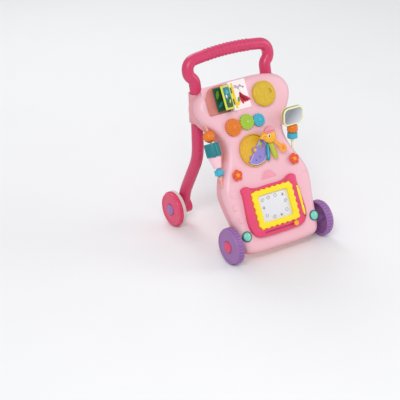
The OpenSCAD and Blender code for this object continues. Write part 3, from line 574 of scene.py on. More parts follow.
def studs_tree():
    """Low round studs on points, each along the point's aim: knobs and dots."""
    inputs = {"Stud radius": "Float", "Stud squash": "Float", "Material": "Material"}
    tree, source = new_tree("Studs on points", inputs)
    given = source.outputs
    ball_size = {"Segments": 14, "Rings": 8, "Radius": given["Stud radius"]}
    stud = put(tree, "GeometryNodeMeshUVSphere", ball_size)
    stored = put(tree, "GeometryNodeInputNamedAttribute", {"Name": "aim"}, data_type="FLOAT_VECTOR")
    aim = put(tree, "FunctionNodeAlignRotationToVector", {"Vector": stored}, axis="Z")
    low = put(tree, "ShaderNodeCombineXYZ", {"X": 1.0, "Y": 1.0, "Z": given["Stud squash"]})
    places = {"Points": given["Geometry"], "Instance": stud, "Rotation": aim, "Scale": low}
    return end_tree(tree, source, places)


TREES = {"pads": pads_tree, "rings": rings_tree, "studs": studs_tree}


def grow(name, node, place, kind, values, points=((0, 0, 0),), aims=None, path=False):
    """Runs one of the trees on points given in mm and keeps its result as a plain mesh."""
    mesh = bpy.data.meshes.new(name)
    edges = [(i, i + 1) for i in range(len(points) - 1)] if path else []
    mesh.from_pydata([Vector(p) * MM for p in points], edges, [])
    if aims:
        stored = mesh.attributes.new("aim", "FLOAT_VECTOR", "POINT")
        stored.data.foreach_set("vector", [c for aim in aims for c in aim])
    piece = bpy.data.objects.new(name, mesh)
    bpy.context.scene.collection.objects.link(piece)
    label = "Walker " + kind
    tree = bpy.data.node_groups.get(label)
    if tree is None:
        tree = TREES[kind]()
        tree.name = label
    modifier = piece.modifiers.new("Pattern", "NODES")
    modifier.node_group = tree
    sockets = {s.name: s.identifier for s in tree.interface.items_tree if s.in_out == "INPUT"}
    for key, value in values.items():
        modifier[sockets[key]] = value
    evaluated(piece)
    piece.data.transform(place)
    if "aim" in piece.data.attributes:
        piece.data.attributes.remove(piece.data.attributes["aim"])
    return hand_over(piece, node, False)


def pads(name, node, place, middle, count, radius, size, material):
    """Pads in a ring about the piece's axis, at height middle."""
    pad = tuple(c * MM for c in size)
    values = {"Count": count, "Radius": radius * MM, "Pad size": pad, "Material": material}
    return grow(name, node, place @ Matrix.Translation((0, 0, middle * MM)), "pads", values)


# ---------------------------------------------------------------- settings a user would change
def colour_property(label, code):
    limits = {"subtype": "COLOR", "size": 3, "min": 0, "max": 1}
    return FloatVectorProperty(name=label, description=label, default=linear(code), **limits)


class WalkerColours(bpy.types.PropertyGroup):
    body: colour_property("Front shell", "#EEBAC4")
    # The rear shell's deeper pink is partly painted shade: it also stands in for the shade on the waist wall
    # and the underside
    back: colour_property("Rear shell", "#E6A0AB")
    pink: colour_property("Handle and legs", "#D03A66")
    board: colour_property("Board and rear wheels", "#E2466F")
    purple: colour_property("Front wheels", "#9A6AA8")
    lavender: colour_property("Rear hubs", "#A070AE")
    ring: colour_property("Grip rings", "#D9D3CE")
    yellow: colour_property("Board surround", "#F9DE1C")
    dial: colour_property("Dial", "#D4AF1F")
    orange: colour_property("Orange toys", "#E67C1C")
    green: colour_property("Green gear", "#A6CB3A")
    blue: colour_property("Blue toys", "#3FB4CC")
    teal: colour_property("Teal toys", "#1D8189")
    flower: colour_property("Flower buttons", "#E5501E")
    violet: colour_property("Disc cover", "#9082C6")
    mint: colour_property("Lamps", "#7FD3BE")


class WalkerSizes(bpy.types.PropertyGroup):
    tread_ribs: IntProperty(name="Tread ribs", description="Ribs round each tyre", default=34, min=20, max=80)
    grip_rings: IntProperty(name="Grip rings", description="Ribs on the grip", default=12, min=5, max=24)
    grip_length: FloatProperty(name="Grip length", default=0.118, min=0.06, max=0.15, unit="LENGTH")
    drum_ribs: IntProperty(name="Drum ribs", description="Ribs round the drum", default=16, min=8, max=32)
    edge: FloatProperty(name="Edge radius", default=0.0006, min=0.0002, max=0.0012, unit="LENGTH")


# ---------------------------------------------------------------- operators
class Finish(bpy.types.Operator):
    """Shared part of the operators that finish the walker's pieces"""

    bl_options = {"REGISTER", "UNDO"}

    def execute(self, context):
        self.colours = context.scene.walker_colours
        self.sizes = context.scene.walker_sizes
        self.edge = self.sizes.edge / MM
        self.make()
        return {"FINISHED"}

    def plastic(self, name, colour, **kind):
        return moulded("ABS_moulded_" + name, getattr(self.colours, colour), **kind)


def crumb(code, name, **kind):
    """Moulded plastic in a colour that no setting holds."""
    return moulded("ABS_moulded_" + name, linear(code), **kind)


def panel_face():
    """The panel's own frame: z = 0 is the face of the front shell, y = 0 is its design height."""
    place, size = seat("front_shell", PANEL)
    foot = 36.1
    return place @ Matrix.Translation(Vector((0, foot - size.y / 2, size.z)) * MM)


def panel_spot(place):
    """Panel coordinates in mm of a place in metres."""
    return (FACE.inverted() @ place) / MM


def smoothstep(low, high, value):
    share = min(1.0, max(0.0, (value - low) / (high - low)))
    return share * share * (3 - 2 * share)


def shell_painted_shade(place):
    """Painted shade: deeper pink round the foot of the panel and inside the left waist, where the shell is in
    shade.
    """
    spot = panel_spot(place)
    deep = smoothstep(2, 18, -spot.z)
    foot = 1 - smoothstep(-14, 14, spot.y)
    waist = smoothstep(184, 205, spot.y) * (1 - smoothstep(262, 300, spot.y)) * (1 if spot.x < 0 else 0.5)
    return deep * max(foot, 0.9 * waist, 0.12)


def spiral(x, y, r, turns, start):
    """Points of a flat spiral that winds inwards."""
    points = []
    for k in range(40):
        share = k / 39
        a = start + turns * 2 * math.pi * share
        rr = r * (1 - 0.75 * share)
        points.append((x + rr * math.cos(a), y + rr * math.sin(a), -0.35))
    return points


FACE = panel_face()


class WALKER_OT_shells(Finish):
    """Moulded body shells, battery door, power switch and case screws"""

    bl_idname = "walker.shells"
    bl_label = "Body shells"

    def make(self):
        # Painted shade: both shells go over to a deeper salmon pink at the foot of the panel and inside the
        # left waist, where they are in shade
        shade_salmon = linear("#E58F86")
        body = self.plastic("body_pink", "body", rough=0.36, patch_mm=40, mottle=0.02, deep=shade_salmon)
        back = self.plastic("rear_pink", "back", rough=0.38, patch_mm=40, mottle=0.02, deep=shade_salmon)
        refine("front_shell", body, 0, angle=44, clean=0, tone=shell_painted_shade, flats=2)
        refine("rear_shell", back, 0, angle=44, clean=0, tone=shell_painted_shade, flats=2)
        refine("battery_door", back, self.edge)
        refine("power_switch", self.plastic("hot_pink", "pink"), 0.3)
        place, size = seat("battery_door", REAR)
        rib = slab(rounded(30, 2.4, 1.1), -0.4, 0.9, 0.5)
        ribs = [(shifted(rib, y=y, z=size.z), back) for y in (-8, 0, 8)]
        build("battery_door_grip", "battery_door", place, ribs, replaces=False)
        screws = drawn_steel("zinc_plated_steel_screws", (0.5, 0.51, 0.54), 0.35)
        for node in ("case_screws", "frame_screws"):
            refine(node, screws, 0.25)
        # Painted shade: a darker pink half-disc fills the finger notch where the recess is in shade; the bead
        # round it is the real lip
        notch_shade = crumb("#EC9BAC", "notch_rose", rough=0.4)
        turns = [math.pi * k / 16 for k in range(17)]
        notch = [(3.2 + 21 * math.cos(a), 131 + 20 * math.sin(a), 0.2) for a in turns]
        build(
            "finger_notch",
            "front_shell",
            FACE,
            [(cord(notch, 1.9, 12), body), (slab([p[:2] for p in notch], -0.3, 0.5, 0.2), notch_shade)],
            replaces=False,
        )
        # Painted shade: a salmon sheet laid in the book tray, darker where the recess is in shade
        tray_shade = crumb("#E08A80", "tray_salmon", rough=0.42, mottle=0.12, patch_mm=30)
        low_side = [(-107, 313), (-80, 311), (-50, 312), (-49, 343)]
        tray = smooth(low_side + [(-50, 374), (-84, 375), (-98, 368), (-107, 350)], 5)
        build("book_tray_liner", "front_shell", FACE, [(slab(tray, -4.2, -3.7, 0.2), tray_shade)], replaces=False)
        # Each swirl: its middle, radius, turns and the angle that it starts at
        winds = [(-98, 118, 15, 1.1, 2.6), (-108, 84, 13, 1.2, -1.2)]
        winds += [(104, 112, 12, 1.0, 0.6), (-100, 52, 9, 0.9, 2.0)]
        swirls = [(cord(spiral(*wind), 1.1, 8, 0.4), body) for wind in winds]
        build("embossed_swirls", "front_shell", FACE, swirls, replaces=False)


class WALKER_OT_inner(Finish):
    """Inner parts: cells, contacts, circuit board, speaker, springs and pins"""

    bl_idname = "walker.inner"
    bl_label = "Inner parts"

    def make(self):
        steel = drawn_steel("spring_steel_strip", (0.6, 0.61, 0.63), 0.3)
        repaint("battery_cells", crumb("#3F7F5F", "cell_sleeve", rough=0.25))
        repaint("battery_contacts", steel)
        repaint("circuit_board", crumb("#2E7D4F", "solder_mask", rough=0.4))
        repaint("speaker", crumb("#34363A", "speaker_basket", rough=0.6))
        repaint("book_pin", drawn_steel("drawn_steel_axle"))
        for node in ("left_button_spring", "right_button_spring"):
            place, size = seat(node, PANEL)
            turns, steps, height = 6, 20, size.z - 1.4
            coil = [
                (*spoke(5.2, 2 * math.pi * k / steps), 0.7 + height * k / (turns * steps))
                for k in range(turns * steps + 1)
            ]
            build(node + "_coil", node, place, [(cord(coil, 0.6, 6), steel)])


class WALKER_OT_handle(Finish):
    """Push handle with its ribbed grip, and the rear legs"""

    bl_idname = "walker.handle"
    bl_label = "Handle and legs"

    def make(self):
        pink = self.plastic("hot_pink", "pink", rough=0.33, patch_mm=30, mottle=0.03)
        refine("handle", pink, 0, clean=0.2, swell_mm=0.9)
        for side in ("left", "right"):
            refine(side + "_rear_leg", pink, self.edge, clean=0.2, swell_mm=0.7)
        place, size = seat("handle", HANDLE_TILT)
        tube = size.y / 2
        half = self.sizes.grip_length / MM / 2
        arch = 663.0
        path = []
        for k in range(33):
            x = -half + 2 * half * k / 32
            path.append((x, 0, size.z - tube - arch + math.sqrt(arch * arch - x * x)))
        rings = {"Count": self.sizes.grip_rings, "Ring radius": (tube - 0.5) * MM, "Bead radius": 2.5 * MM}
        grow("handle_grip_rings", "handle", place, "rings", {**rings, "Material": pink}, path, path=True)


class WALKER_OT_wheels(Finish):
    """Wheels with tread, hub caps, grip rings and axles"""

    bl_idname = "walker.wheels"
    bl_label = "Wheels"

    def make(self):
        steel = drawn_steel("drawn_steel_axle")
        refine("front_axle", steel, 0.4)
        refine("rear_axles", steel, 0.4)
        purple = self.plastic("wheel_purple", "purple", rough=0.36, mottle=0.04)
        pink = self.plastic("bright_pink", "board", rough=0.33, patch_mm=30, mottle=0.03)
        lavender = self.plastic("hub_lavender", "lavender", rough=0.3)
        grey = moulded("TPR_moulded_grip_grey", self.colours.ring, rough=0.6, grain_mm=0.7, depth_mm=0.09)
        for side, turn in (("left", LEFT), ("right", RIGHT)):
            self.wheel(f"front_{side}_wheel", turn, purple, False)
            self.wheel(f"rear_{side}_wheel", turn, pink, True)
            self.cap(f"front_{side}_hub_cap", turn, pink)
            self.cap(f"rear_{side}_hub_cap", turn, lavender)
            self.grip(f"rear_{side}_grip_ring", turn, grey)

    def wheel(self, node, turn, skin, grooved):
        place, size = seat(node, turn)
        r, w = size.x / 2, size.z
        low = 8.0 if grooved else 0.0
        rim = r - 4 if grooved else r - 1.9
        tread = r - 1.9
        face = [(r - 6.2, w), (r - 8, w - 0.5), (r - 9.2, w - 1.6), (r - 12, w - 2.0), (20, w - 0.7)]
        face += [(17.2, w - 0.2), (15.6, w - 0.6), (14.3, w - 2), (3.1, w - 2)]
        shoulder = [(tread - (1 - math.cos(a)) * 5, w - 5 + 5 * math.sin(a)) for a in quarter(6)]
        outside = [(rim, 0.5), (rim, low)] if grooved else [(tread - 0.8, 0), (tread, 0.9)]
        if grooved:
            outside += [(tread - 0.3, low), (tread, low + 0.6)]
        hub = [(3.1, 0), (8.6, 0), (9, 0.4), (9, w - 4.5), (10, w - 3.5)]
        inside = [(r - 7.5, w - 3.5), (r - 6, w - 5), (r - 6, 0.4), (r - 5.6, 0)]
        section = hub + inside + outside + shoulder + face
        build(node + "_turned", node, place, [(turned_ring(section, 128), skin)], angle=42)
        high = w - 6
        pad = (3.2, 5.0, high - low - 1)
        middle = (low + 1 + high) / 2
        pads(node + "_tread", node, place, middle, self.sizes.tread_ribs, r - 1.6, pad, skin)

    def cap(self, node, turn, skin):
        place, size = seat(node, turn)
        r, h = size.x / 2, size.z
        profile = [(0, 1.2), (4.2, 1.2), (4.2, 0), (r - 0.3, 0), (r, 0.3), (r, 2.2), (r - 0.8, 3.4)]
        profile += [(r - 2.2, 4.2), (r - 3.4, 4.3), (r - 4.6, 3.7), (r - 5.6, 3.8)]
        profile += [(5, h - 0.5), (2.5, h - 0.1), (0, h)]
        build(node + "_turned", node, place, [(lathe(profile, 64), skin)], angle=50)

    def grip(self, node, turn, skin):
        place, size = seat(node, turn)
        r, w = size.x / 2, size.z
        section = [(r - 4, 0), (r - 0.8, 0), (r - 0.2, 0.5), (r - 0.2, w - 0.4), (r - 0.7, w), (r - 4, w)]
        build(node + "_turned", node, place, [(turned_ring(section, 128), skin)])
        pads(node + "_ribs", node, place, w / 2, 60, r - 0.5, (1.1, 1.6, w - 1.6), skin)


def leaf(x, y, long, wide, turn):
    """Pointed leaf outline."""
    loop = [(long / 2 * math.cos(a), wide / 2 * math.sin(a) * abs(math.sin(a)) ** 0.4) for a in around(24)]
    return shifted(slab(loop, 0, 0.5, 0.2, 0.1), x, y, 0, turn)


def curl(x, y, r, turns, turn, wire=0.5):
    """Printed-looking curl laid on a page."""
    points = []
    for k in range(30):
        share = k / 29
        a = turn + turns * 2 * math.pi * share
        dx, dy = spoke(r * (1 - 0.8 * share), a)
        points.append((x + dx, y + dy, 0.2))
    return cord(points, wire, 6)


class WALKER_OT_book(Finish):
    """Turning picture book: base page and two leaves"""

    bl_idname = "walker.book"
    bl_label = "Picture book"

    def make(self):
        yellow = crumb("#F2C81F", "book_yellow", rough=0.28)
        lime = crumb("#DDE03A", "page_lime", rough=0.28)
        green = crumb("#22573C", "page_green", rough=0.3)
        white = crumb("#F6E9EA", "page_white", rough=0.3)
        crimson = crumb("#D2293F", "print_crimson", rough=0.3)
        ink = crumb("#4A3F46", "print_dark", rough=0.35)
        teal = self.plastic("teal", "teal")
        blue = self.plastic("blue", "blue")
        leafy = crumb("#5E9A34", "print_leaf", rough=0.3)
        refine("book_base", white, 0.3)
        refine("book_back_page", green, 0.4)
        refine("book_front_page", lime, 0.4)

        place, size = seat("book_base", PANEL)
        x0 = 5.0
        page = slab(rounded(size.x - 14, 60, 3), 2.2, 3.0, 0.3)
        strip = slab(rounded(7, 62, 2), 2.0, 3.4, 0.6)
        stalk = cord([(x0 + 2, 4, 3.1), (x0 + 0.5, 9, 3.1), (x0 - 2, 14, 3.1)], 0.5, 6)
        prints = [(shifted(page, x0 + 1), white), (shifted(strip, x=-size.x / 2 + 14), yellow), (stalk, leafy)]
        for k in (-1, 0, 1, 2):
            petal = leaf(0, 0, 30, 11, 0)
            prints.append((shifted(petal, x0 + 4 + 3.2 * k, -8 - 1.5 * abs(k), 3.0, -1.15 + 0.34 * k), crimson))
        for k in range(4):
            wisp = curl(0, 0, 4.5 - 0.6 * k, 1.4, 0.8 * k)
            prints.append((shifted(wisp, x0 - 9 + 7 * k, 20 - 3.5 * (k % 2), 3.0), ink))
        prints.append((shifted(leaf(0, 0, 15, 9, 0), x0 - 12, -20, 3.0, 0.5), yellow))
        prints.append((shifted(leaf(0, 0, 14, 7, 0), x0 - 8, -11, 3.0, 1.2), leafy))
        build("right_page_print", "book_base", place, prints, replaces=False)

        turn = PANEL @ Matrix.Rotation(math.radians(32), 4, "Y")
        place, size = seat("book_front_page", turn)
        wide = size.x - 8.8
        x = -size.x / 2 + wide / 2
        top = size.z / 2 + 3.4
        frame_bead = rounded(wide - 5, 52, 5, x=x)
        bead = cord([(px, py, top - 0.5) for px, py in frame_bead + frame_bead[:2]], 0.9, 8)
        hill = smooth([(x - 13, -22), (x + 13, -22), (x + 13, -4), (x + 5, 0), (x - 3, -7), (x - 13, -2)])
        cloud = smooth([(x - 7, 10), (x, 8), (x + 8, 10), (x + 7, 16), (x + 1, 18), (x - 5, 16)])
        build(
            "front_page_print",
            "book_front_page",
            place,
            [
                (shifted(slab(rounded(wide - 8, 49, 4, x=x), 0, 0.5, 0.2), z=top - 0.4), teal),
                (bead, lime),
                (shifted(slab(hill, 0, 0.9, 0.3), z=top - 0.4), green),
                (shifted(slab(cloud, 0, 0.9, 0.3), z=top - 0.4), blue),
                (shifted(ball(4, 0, 0.15, 24, 8), x - 6, 3, top + 0.1), white),
                (shifted(leaf(0, 0, 12, 6, 0), x + 5, -10, top + 0.4, 0.9), lime),
            ],
            replaces=False,
        )

        turn = PANEL @ Matrix.Rotation(math.radians(3), 4, "Y")
        place, size = seat("book_back_page", turn)
        wide = size.x - 8.8
        x = -size.x / 2 + wide / 2
        top = size.z / 2 - 0.3
        forest = crumb("#16432E", "print_forest")
        build(
            "back_page_print",
            "book_back_page",
            place,
            [
                (shifted(slab(rounded(wide - 6, 50, 4, x=x), 0, 0.25, 0.1, 0.05), z=top - 0.1), forest),
                (shifted(leaf(0, 0, 22, 9, 0), x - 12, 12, top - 0.3, 1.2, 1), leafy),
                (shifted(leaf(0, 0, 20, 8, 0), x - 9, -12, top - 0.3, 0.7, 1), teal),
            ],
            replaces=False,
        )


def crater(x, y, cx, cy, r, depth):
    """Depth of a round dimple with a slightly raised lip."""
    d = math.hypot(x - cx, y - cy) / r
    if d > 1.35:
        return 0.0
    if d > 1:
        return 0.18 * depth * math.sin(math.pi * (d - 1) / 0.35)
    return -depth * (0.5 + 0.5 * math.cos(math.pi * d))


class WALKER_OT_dial(Finish):
    """Dimpled dial on its pin"""

    bl_idname = "walker.dial"
    bl_label = "Dial"

    def make(self):
        yellow = self.plastic("dial_yellow", "dial", rough=0.34, mottle=0.13, patch_mm=7)
        place, size = seat("dial", PANEL)
        r, t = size.x / 2, size.z
        # Each dent: its middle, radius and depth
        dents = [(-12, 13, 5, 1.6), (9, 17, 4, 1.3), (-19, -5, 4.5, 1.5), (-5, -14, 6, 1.7)]
        dents += [(13, -17, 4, 1.3), (-4, 24, 2.4, 1.2), (19, -7, 2.6, 0.9)]

        def height(x, y):
            d = math.hypot(x, y) / r
            edge = 2.4 * max(0.0, (d - 0.86) / 0.14) ** 2
            step = -0.7 if 0.82 < d < 0.86 else 0.0
            return t - 0.6 - edge + step + sum(crater(x, y, *dent) for dent in dents)

        ochre = crumb("#B98A18", "dial_relief")
        wide = cord([(12, 9, t - 0.4), (16, 7, t - 0.2), (19, 3, t - 0.3), (20, -2, t - 0.6)], 1.1, 8)
        narrow = cord([(13, 3, t - 0.4), (16, 1, t - 0.3), (17, -3, t - 0.5)], 0.9, 8)
        relief = [(polar(r, height, 34, 120), yellow), (wide, ochre), (narrow, ochre)]
        build("dial_relief", "dial", place, relief, angle=60)


class WALKER_OT_gears(Finish):
    """Three meshing gears with dotted faces, and the panel pins"""

    bl_idname = "walker.gears"
    bl_label = "Gears"

    def make(self):
        for colour, rings in (("orange", 4), ("green", 4), ("blue", 3)):
            node = colour + "_gear"
            skin = self.plastic(node, colour, rough=0.3)
            dots = moulded("ABS_printed_dots_" + colour, shade(getattr(self.colours, colour), 0.62)[:3])
            refine(node, skin, 0.5)
            place, size = seat(node, PANEL)
            r = size.x / 2
            spots = []
            for ring in range(1, rings + 1):
                rr = (r - 4.2) * ring / rings
                count = max(6, round(2 * math.pi * rr / 4.4))
                if rr < 5.4:
                    continue
                spots += [(*spoke(rr, a + ring), size.z) for a in around(count)]
            studs = {"Stud radius": 1.25 * MM, "Stud squash": 0.45, "Material": dots}
            grow(node + "_dots", node, place, "studs", studs, spots, [(0, 0, 1)] * len(spots))
        heads = []
        gold = crumb("#E9AE20", "pin_gold")
        hues = ("orange", "green", "blue")
        headed = [(hue + "_gear", self.plastic(hue + "_pin", hue), 9.7) for hue in hues]
        headed += [("dial", self.plastic("dial_pin", "dial"), 10.7), ("picture_disc", gold, 7.9)]
        for node, skin, top in headed:
            spot = panel_spot(seat(node, PANEL)[0].translation)
            profile = [(0, -9), (2.5, -9), (2.5, top - 1.4), (4.2, top - 1.4)]
            profile += [(4.5, top - 1.0), (4.2, top - 0.4), (3, top - 0.1), (0, top)]
            heads.append((shifted(lathe(profile, 32), spot.x, spot.y), skin))
        spot = panel_spot(seat("key_hub", PANEL)[0].translation)
        hanger = lathe([(0, -9), (2.5, -9), (2.5, 21.4), (2.1, 21.8), (0, 21.8)], 24)
        heads.append((shifted(hanger, spot.x + 6, spot.y), gold))
        build("panel_pins_headed", "panel_pins", FACE, heads)


class WALKER_OT_disc(Finish):
    """Picture disc with its turning half cover"""

    bl_idname = "walker.disc"
    bl_label = "Picture disc"

    def make(self):
        gold = crumb("#DFAC26", "disc_gold", rough=0.32, mottle=0.14, patch_mm=7)
        violet = self.plastic("disc_violet", "violet", rough=0.3)
        pale = crumb("#C4B6E8", "disc_pale_violet", rough=0.3)
        brown = crumb("#6E4A22", "disc_rim_line", rough=0.4)
        mauve = crumb("#B07CA8", "disc_mauve")
        place, size = seat("picture_disc", PANEL)
        r, t = size.x / 2, size.z
        dents = [(-24, 12, 5, 1.1), (-14, -20, 6, 1.2), (-28, -8, 3.5, 0.9)]
        dents += [(2, 27, 3.5, 0.9), (18, -22, 5, 1.0), (24, 6, 4, 0.9)]

        def floor(x, y):
            return 3.1 + sum(crater(x, y, *dent) for dent in dents)

        rim = [(r - 2.6, 2.6), (r - 2.6, t - 0.7), (r - 2.1, t - 0.1), (r - 1.3, t), (r - 0.4, t - 0.5)]
        rim += [(r, t - 1.4), (r, 0.4), (r - 0.4, 0), (r - 3.2, 0)]
        build(
            "picture_disc_relief",
            "picture_disc",
            place,
            [
                (polar(r - 2.5, floor, 26, 96), gold),
                (turned_ring(rim, 110), gold),
                (turned_ring([(r - 3.4, 3.0), (r - 3.4, 3.9), (r - 2.5, 3.9), (r - 2.5, 3.0)], 96), brown),
                (shifted(ball(4.4, 0, 0.3, 24, 10), -15, -14, 3.2), mauve),
            ],
            angle=60,
        )
        refine("disc_cover", violet, 0.5)
        place, size = seat("disc_cover", PANEL @ Matrix.Rotation(math.radians(-43), 4, "Z"))
        x0, top, rc = -size.x / 2 + 7, size.z, size.x - 7
        turns = [math.radians(v) for v in range(-84, 85, 4)]
        arc = [(x0 + (rc - 1.6) * math.cos(a), (rc - 1.6) * math.sin(a), top) for a in turns]
        straight = [(x0 + 1.6, y, top) for y in range(-34, -8, 4)]
        upper = [(x0 + 1.6, y, top) for y in range(9, 36, 4)]
        green = self.plastic("green_gear", "green", rough=0.3)
        plum = crumb("#4B3B6B", "print_plum")
        build(
            "disc_cover_trim",
            "disc_cover",
            place,
            [
                (cord(arc, 1.5, 8), pale),
                (cord(straight, 1.1, 8), pale),
                (cord(upper, 1.1, 8), pale),
                (shifted(ball(4.6, 0, 0.3, 28, 12), x0 + 6.5, 22, top - 0.3), green),
                (shifted(ball(1.7, 0, 0.4, 16, 8), x0 + 14, -20, top), plum),
                (shifted(curl(0, 0, 3.2, 0.9, 0.4, 0.45), x0 + 20, -9, top - 0.1), plum),
            ],
            replaces=False,
        )


class WALKER_OT_keys(Finish):
    """Swinging keys and the bird-shaped hub that covers their eyes"""

    bl_idname = "walker.keys"
    bl_label = "Keys"

    def make(self):
        crown = crumb("#E8909E", "crown_pink", rough=0.3)
        gold = crumb("#F4B022", "bird_gold", rough=0.3)
        dark = crumb("#2B2320", "eye_black", rough=0.15)
        teal = self.plastic("teal", "teal")
        olive = crumb("#B0B431", "key_olive", rough=0.3)
        orange = crumb("#F2A33A", "key_orange", rough=0.3)
        refine("teal_key", teal, 0.6)
        refine("olive_key", olive, 0.6)
        refine("orange_key", orange, 0.7)
        self.key_trim("teal_key", -15, 9, 3, self.plastic("blue", "blue"))
        self.key_trim("olive_key", 6, 14, 5, crumb("#B9C23E", "key_lime"))
        self.knob(orange)
        place, size = seat("key_hub", PANEL)
        r = 19.0
        x = size.x / 2 - r
        h = size.z
        head = dome(r, h - 2, 0, 56, 10)
        arch = [(math.cos(a), math.sin(a)) for a in around(40)]
        crest = [(14.5 * c, 6 + 13.5 * s * (1 if s > 0 else 0.35)) for c, s in arch]
        beak = smooth([(-12, 9), (-22, 5), (-30.5, -1.5), (-22, -6), (-12, -7), (-5, 1)], 5)
        eye = ball(4.2, 0, 0.5, 32, 12)
        pupil = ball(2.6, 0, 0.6, 28, 12)
        mouth = cord([(x - 12, -0.5, 7), (x - 19, -1.8, 6.5), (x - 26, -2.4, 5.8)], 0.5, 6)
        build(
            "key_hub_head",
            "key_hub",
            place,
            [
                (shifted(head, x), gold),
                (shifted(slab(crest, h - 7.5, h + 0.2, 3.2, 0.2), x, 3), crown),
                (shifted(slab(beak, 1.5, 6.4, 2.0, 0.6), x), gold),
                (shifted(eye, x - 6, -1.5, h - 2.2), crumb("#FBF7EE", "eye_white")),
                (shifted(pupil, x - 6.3, -1.8, h - 0.9), dark),
                (mouth, crumb("#B5651D", "beak_line")),
            ],
            angle=50,
        )

    def key_trim(self, node, bearing, wide, count, skin):
        place, size = seat(node, PANEL @ Matrix.Rotation(math.radians(bearing), 4, "Z"))
        strip = slab(rounded(wide * 0.42, size.y * 0.5, 1.6), 0, 0.7, 0.3)
        bar = slab(rounded(wide * 0.62, 1.6, 0.7), 0, 0.9, 0.4)
        trim = [(shifted(strip, 0, -size.y * 0.14, size.z - 0.45), skin)]
        trim += [(shifted(bar, 0, -size.y / 2 + 6 + 5.2 * k, size.z - 0.5), skin) for k in range(count)]
        build(node + "_trim", node, place, trim, replaces=False)

    def knob(self, orange):
        place, size = seat("orange_key", PANEL @ Matrix.Rotation(math.radians(38), 4, "Z"))
        y = -size.y / 2 + 11
        low, high = size.z - 0.4, size.z + 1.0
        ring = turned_ring([(5, low), (5.6, high), (8.6, high), (9.6, low)], 48)
        boss = shifted(ball(4, 0, 0.35, 24, 10), 0, y, size.z)
        parts = [(shifted(ring, 0, y), orange), (boss, crumb("#E58A22", "key_deep_orange"))]
        build("orange_key_knob", "orange_key", place, parts, replaces=False)


class WALKER_OT_flowers(Finish):
    """Five-petalled press buttons"""

    bl_idname = "walker.flowers"
    bl_label = "Flower buttons"

    def make(self):
        red = self.plastic("flower_red", "flower", rough=0.28)
        heart = crumb("#F7962F", "flower_heart", rough=0.28)
        for side in ("left", "right"):
            node = side + "_flower_button"
            place, size = seat(node, PANEL)
            top, r = size.z, size.x / 2
            petals = []
            for k in range(5):
                a = math.radians(18 + 72 * k)
                petals.append((shifted(ball(6.6, 0, 0.5, 32, 14), *spoke(7.7, a), top - 3.8), red))
                vein = [(*spoke(3 + s, a), top - 0.9 - 0.03 * s * s) for s in (0, 2, 4, 6)]
                petals.append((cord(vein, 0.7, 6), heart))
            flange = [(0, 0), (7.6, 0), (8, 0.4), (8, 3.6), (6.2, 4), (6, 4.4)]
            stem = lathe(flange + [(6, top - 5), (0, top - 5)], 40)
            middle = shifted(ball(5.2, 0, 0.6, 32, 12), 0, 0, top - 1.9)
            base = slab(petal_loop(r, 0.93), top - 7, top - 4, 0.6, 0.8)
            petals += [(stem, red), (base, red), (middle, heart)]
            build(node + "_bloom", node, place, petals, angle=50)


def petal_loop(r, size):
    """Outline of five round petals that reach r from the middle, scaled by size."""
    petal = r * 0.48
    d = r - petal
    loop = []
    for a in around(80):
        off = math.radians((math.degrees(a) - 18 + 36) % 72 - 36)
        rr = d * math.cos(off) + math.sqrt(petal * petal - (d * math.sin(off)) ** 2)
        loop.append(spoke(rr * size, a))
    return loop


class WALKER_OT_rollers(Finish):
    """Turning roller toys at the left waist"""

    bl_idname = "walker.rollers"
    bl_label = "Roller toys"

    def make(self):
        refine("roller_rod", crumb("#EFA98F", "rod_peach", rough=0.35), 0.5)
        orange = self.plastic("ball_orange", "orange", rough=0.3)
        place, size = seat("orange_ball", ROD)
        r = size.x / 2
        skin = turned_ring(bead_section(r, 0.9, 1.0, 24, 2), 64)
        build("orange_ball_turned", "orange_ball", place, [(skin, orange)], angle=60)
        spots, aims = [], []
        for i, band in enumerate((30, 55, 80, 105, 130, 152)):
            a = math.radians(band)
            count = max(5, round(12 * math.sin(a)))
            for k in range(count):
                b = 2 * math.pi * (k + 0.5 * (i % 2)) / count
                aim = (*spoke(math.sin(a), b), -math.cos(a))
                aims.append(aim)
                spots.append(tuple((r - 1.1) * c for c in aim[:2]) + (r + (r - 1.1) * aim[2],))
        knobs = {"Stud radius": 2.5 * MM, "Stud squash": 0.55, "Material": orange}
        grow("orange_ball_knobs", "orange_ball", place, "studs", knobs, spots, aims)

        teal = self.plastic("teal", "teal")
        place, size = seat("teal_drum", ROD)
        r, h = size.x / 2 - 0.6, size.z
        end = [(BORE, 0.2), (r - 2.4, 0.2), (r - 0.8, 0.9), (r, 2.2), (r, 3.4), (r - 1.2, 4.4)]
        section = end + [(x, h - z) for x, z in reversed(end)]
        build("teal_drum_turned", "teal_drum", place, [(turned_ring(section, 96), teal)])
        rib = (2.4, 3.2, h - 6)
        pads("teal_drum_ribs", "teal_drum", place, h / 2, self.sizes.drum_ribs, r - 1.2, rib, teal)

        pale = crumb("#F6CBD4", "cone_pink", rough=0.34)
        place, size = seat("pink_cone", ROD)
        h = size.z
        wide, narrow = size.x / 2 - 0.4, 10.1
        section = [(BORE, 0.1), (narrow - 1, 0.1)]
        bands = 7
        for k in range(bands * 6 + 1):
            share = k / (bands * 6)
            rr = narrow + (wide - narrow) * share - 0.55 * (1 - math.cos(2 * math.pi * bands * share))
            section.append((rr, 0.5 + (h - 1.0) * share))
        section += [(wide - 1.2, h - 0.1), (BORE, h - 0.1)]
        build("pink_cone_turned", "pink_cone", place, [(turned_ring(section, 80), pale)], angle=60)

        blue = self.plastic("blue", "blue")
        place, size = seat("blue_bead", ROD)
        r = size.x / 2
        skin = turned_ring(bead_section(r, 0.7, 0.5, 20, 3), 56)
        build("blue_bead_turned", "blue_bead", place, [(skin, blue)], angle=60)
        pads("blue_bead_lobes", "blue_bead", place, r, 9, r - 1.6, (3.0, 4.0, r * 1.25), blue)


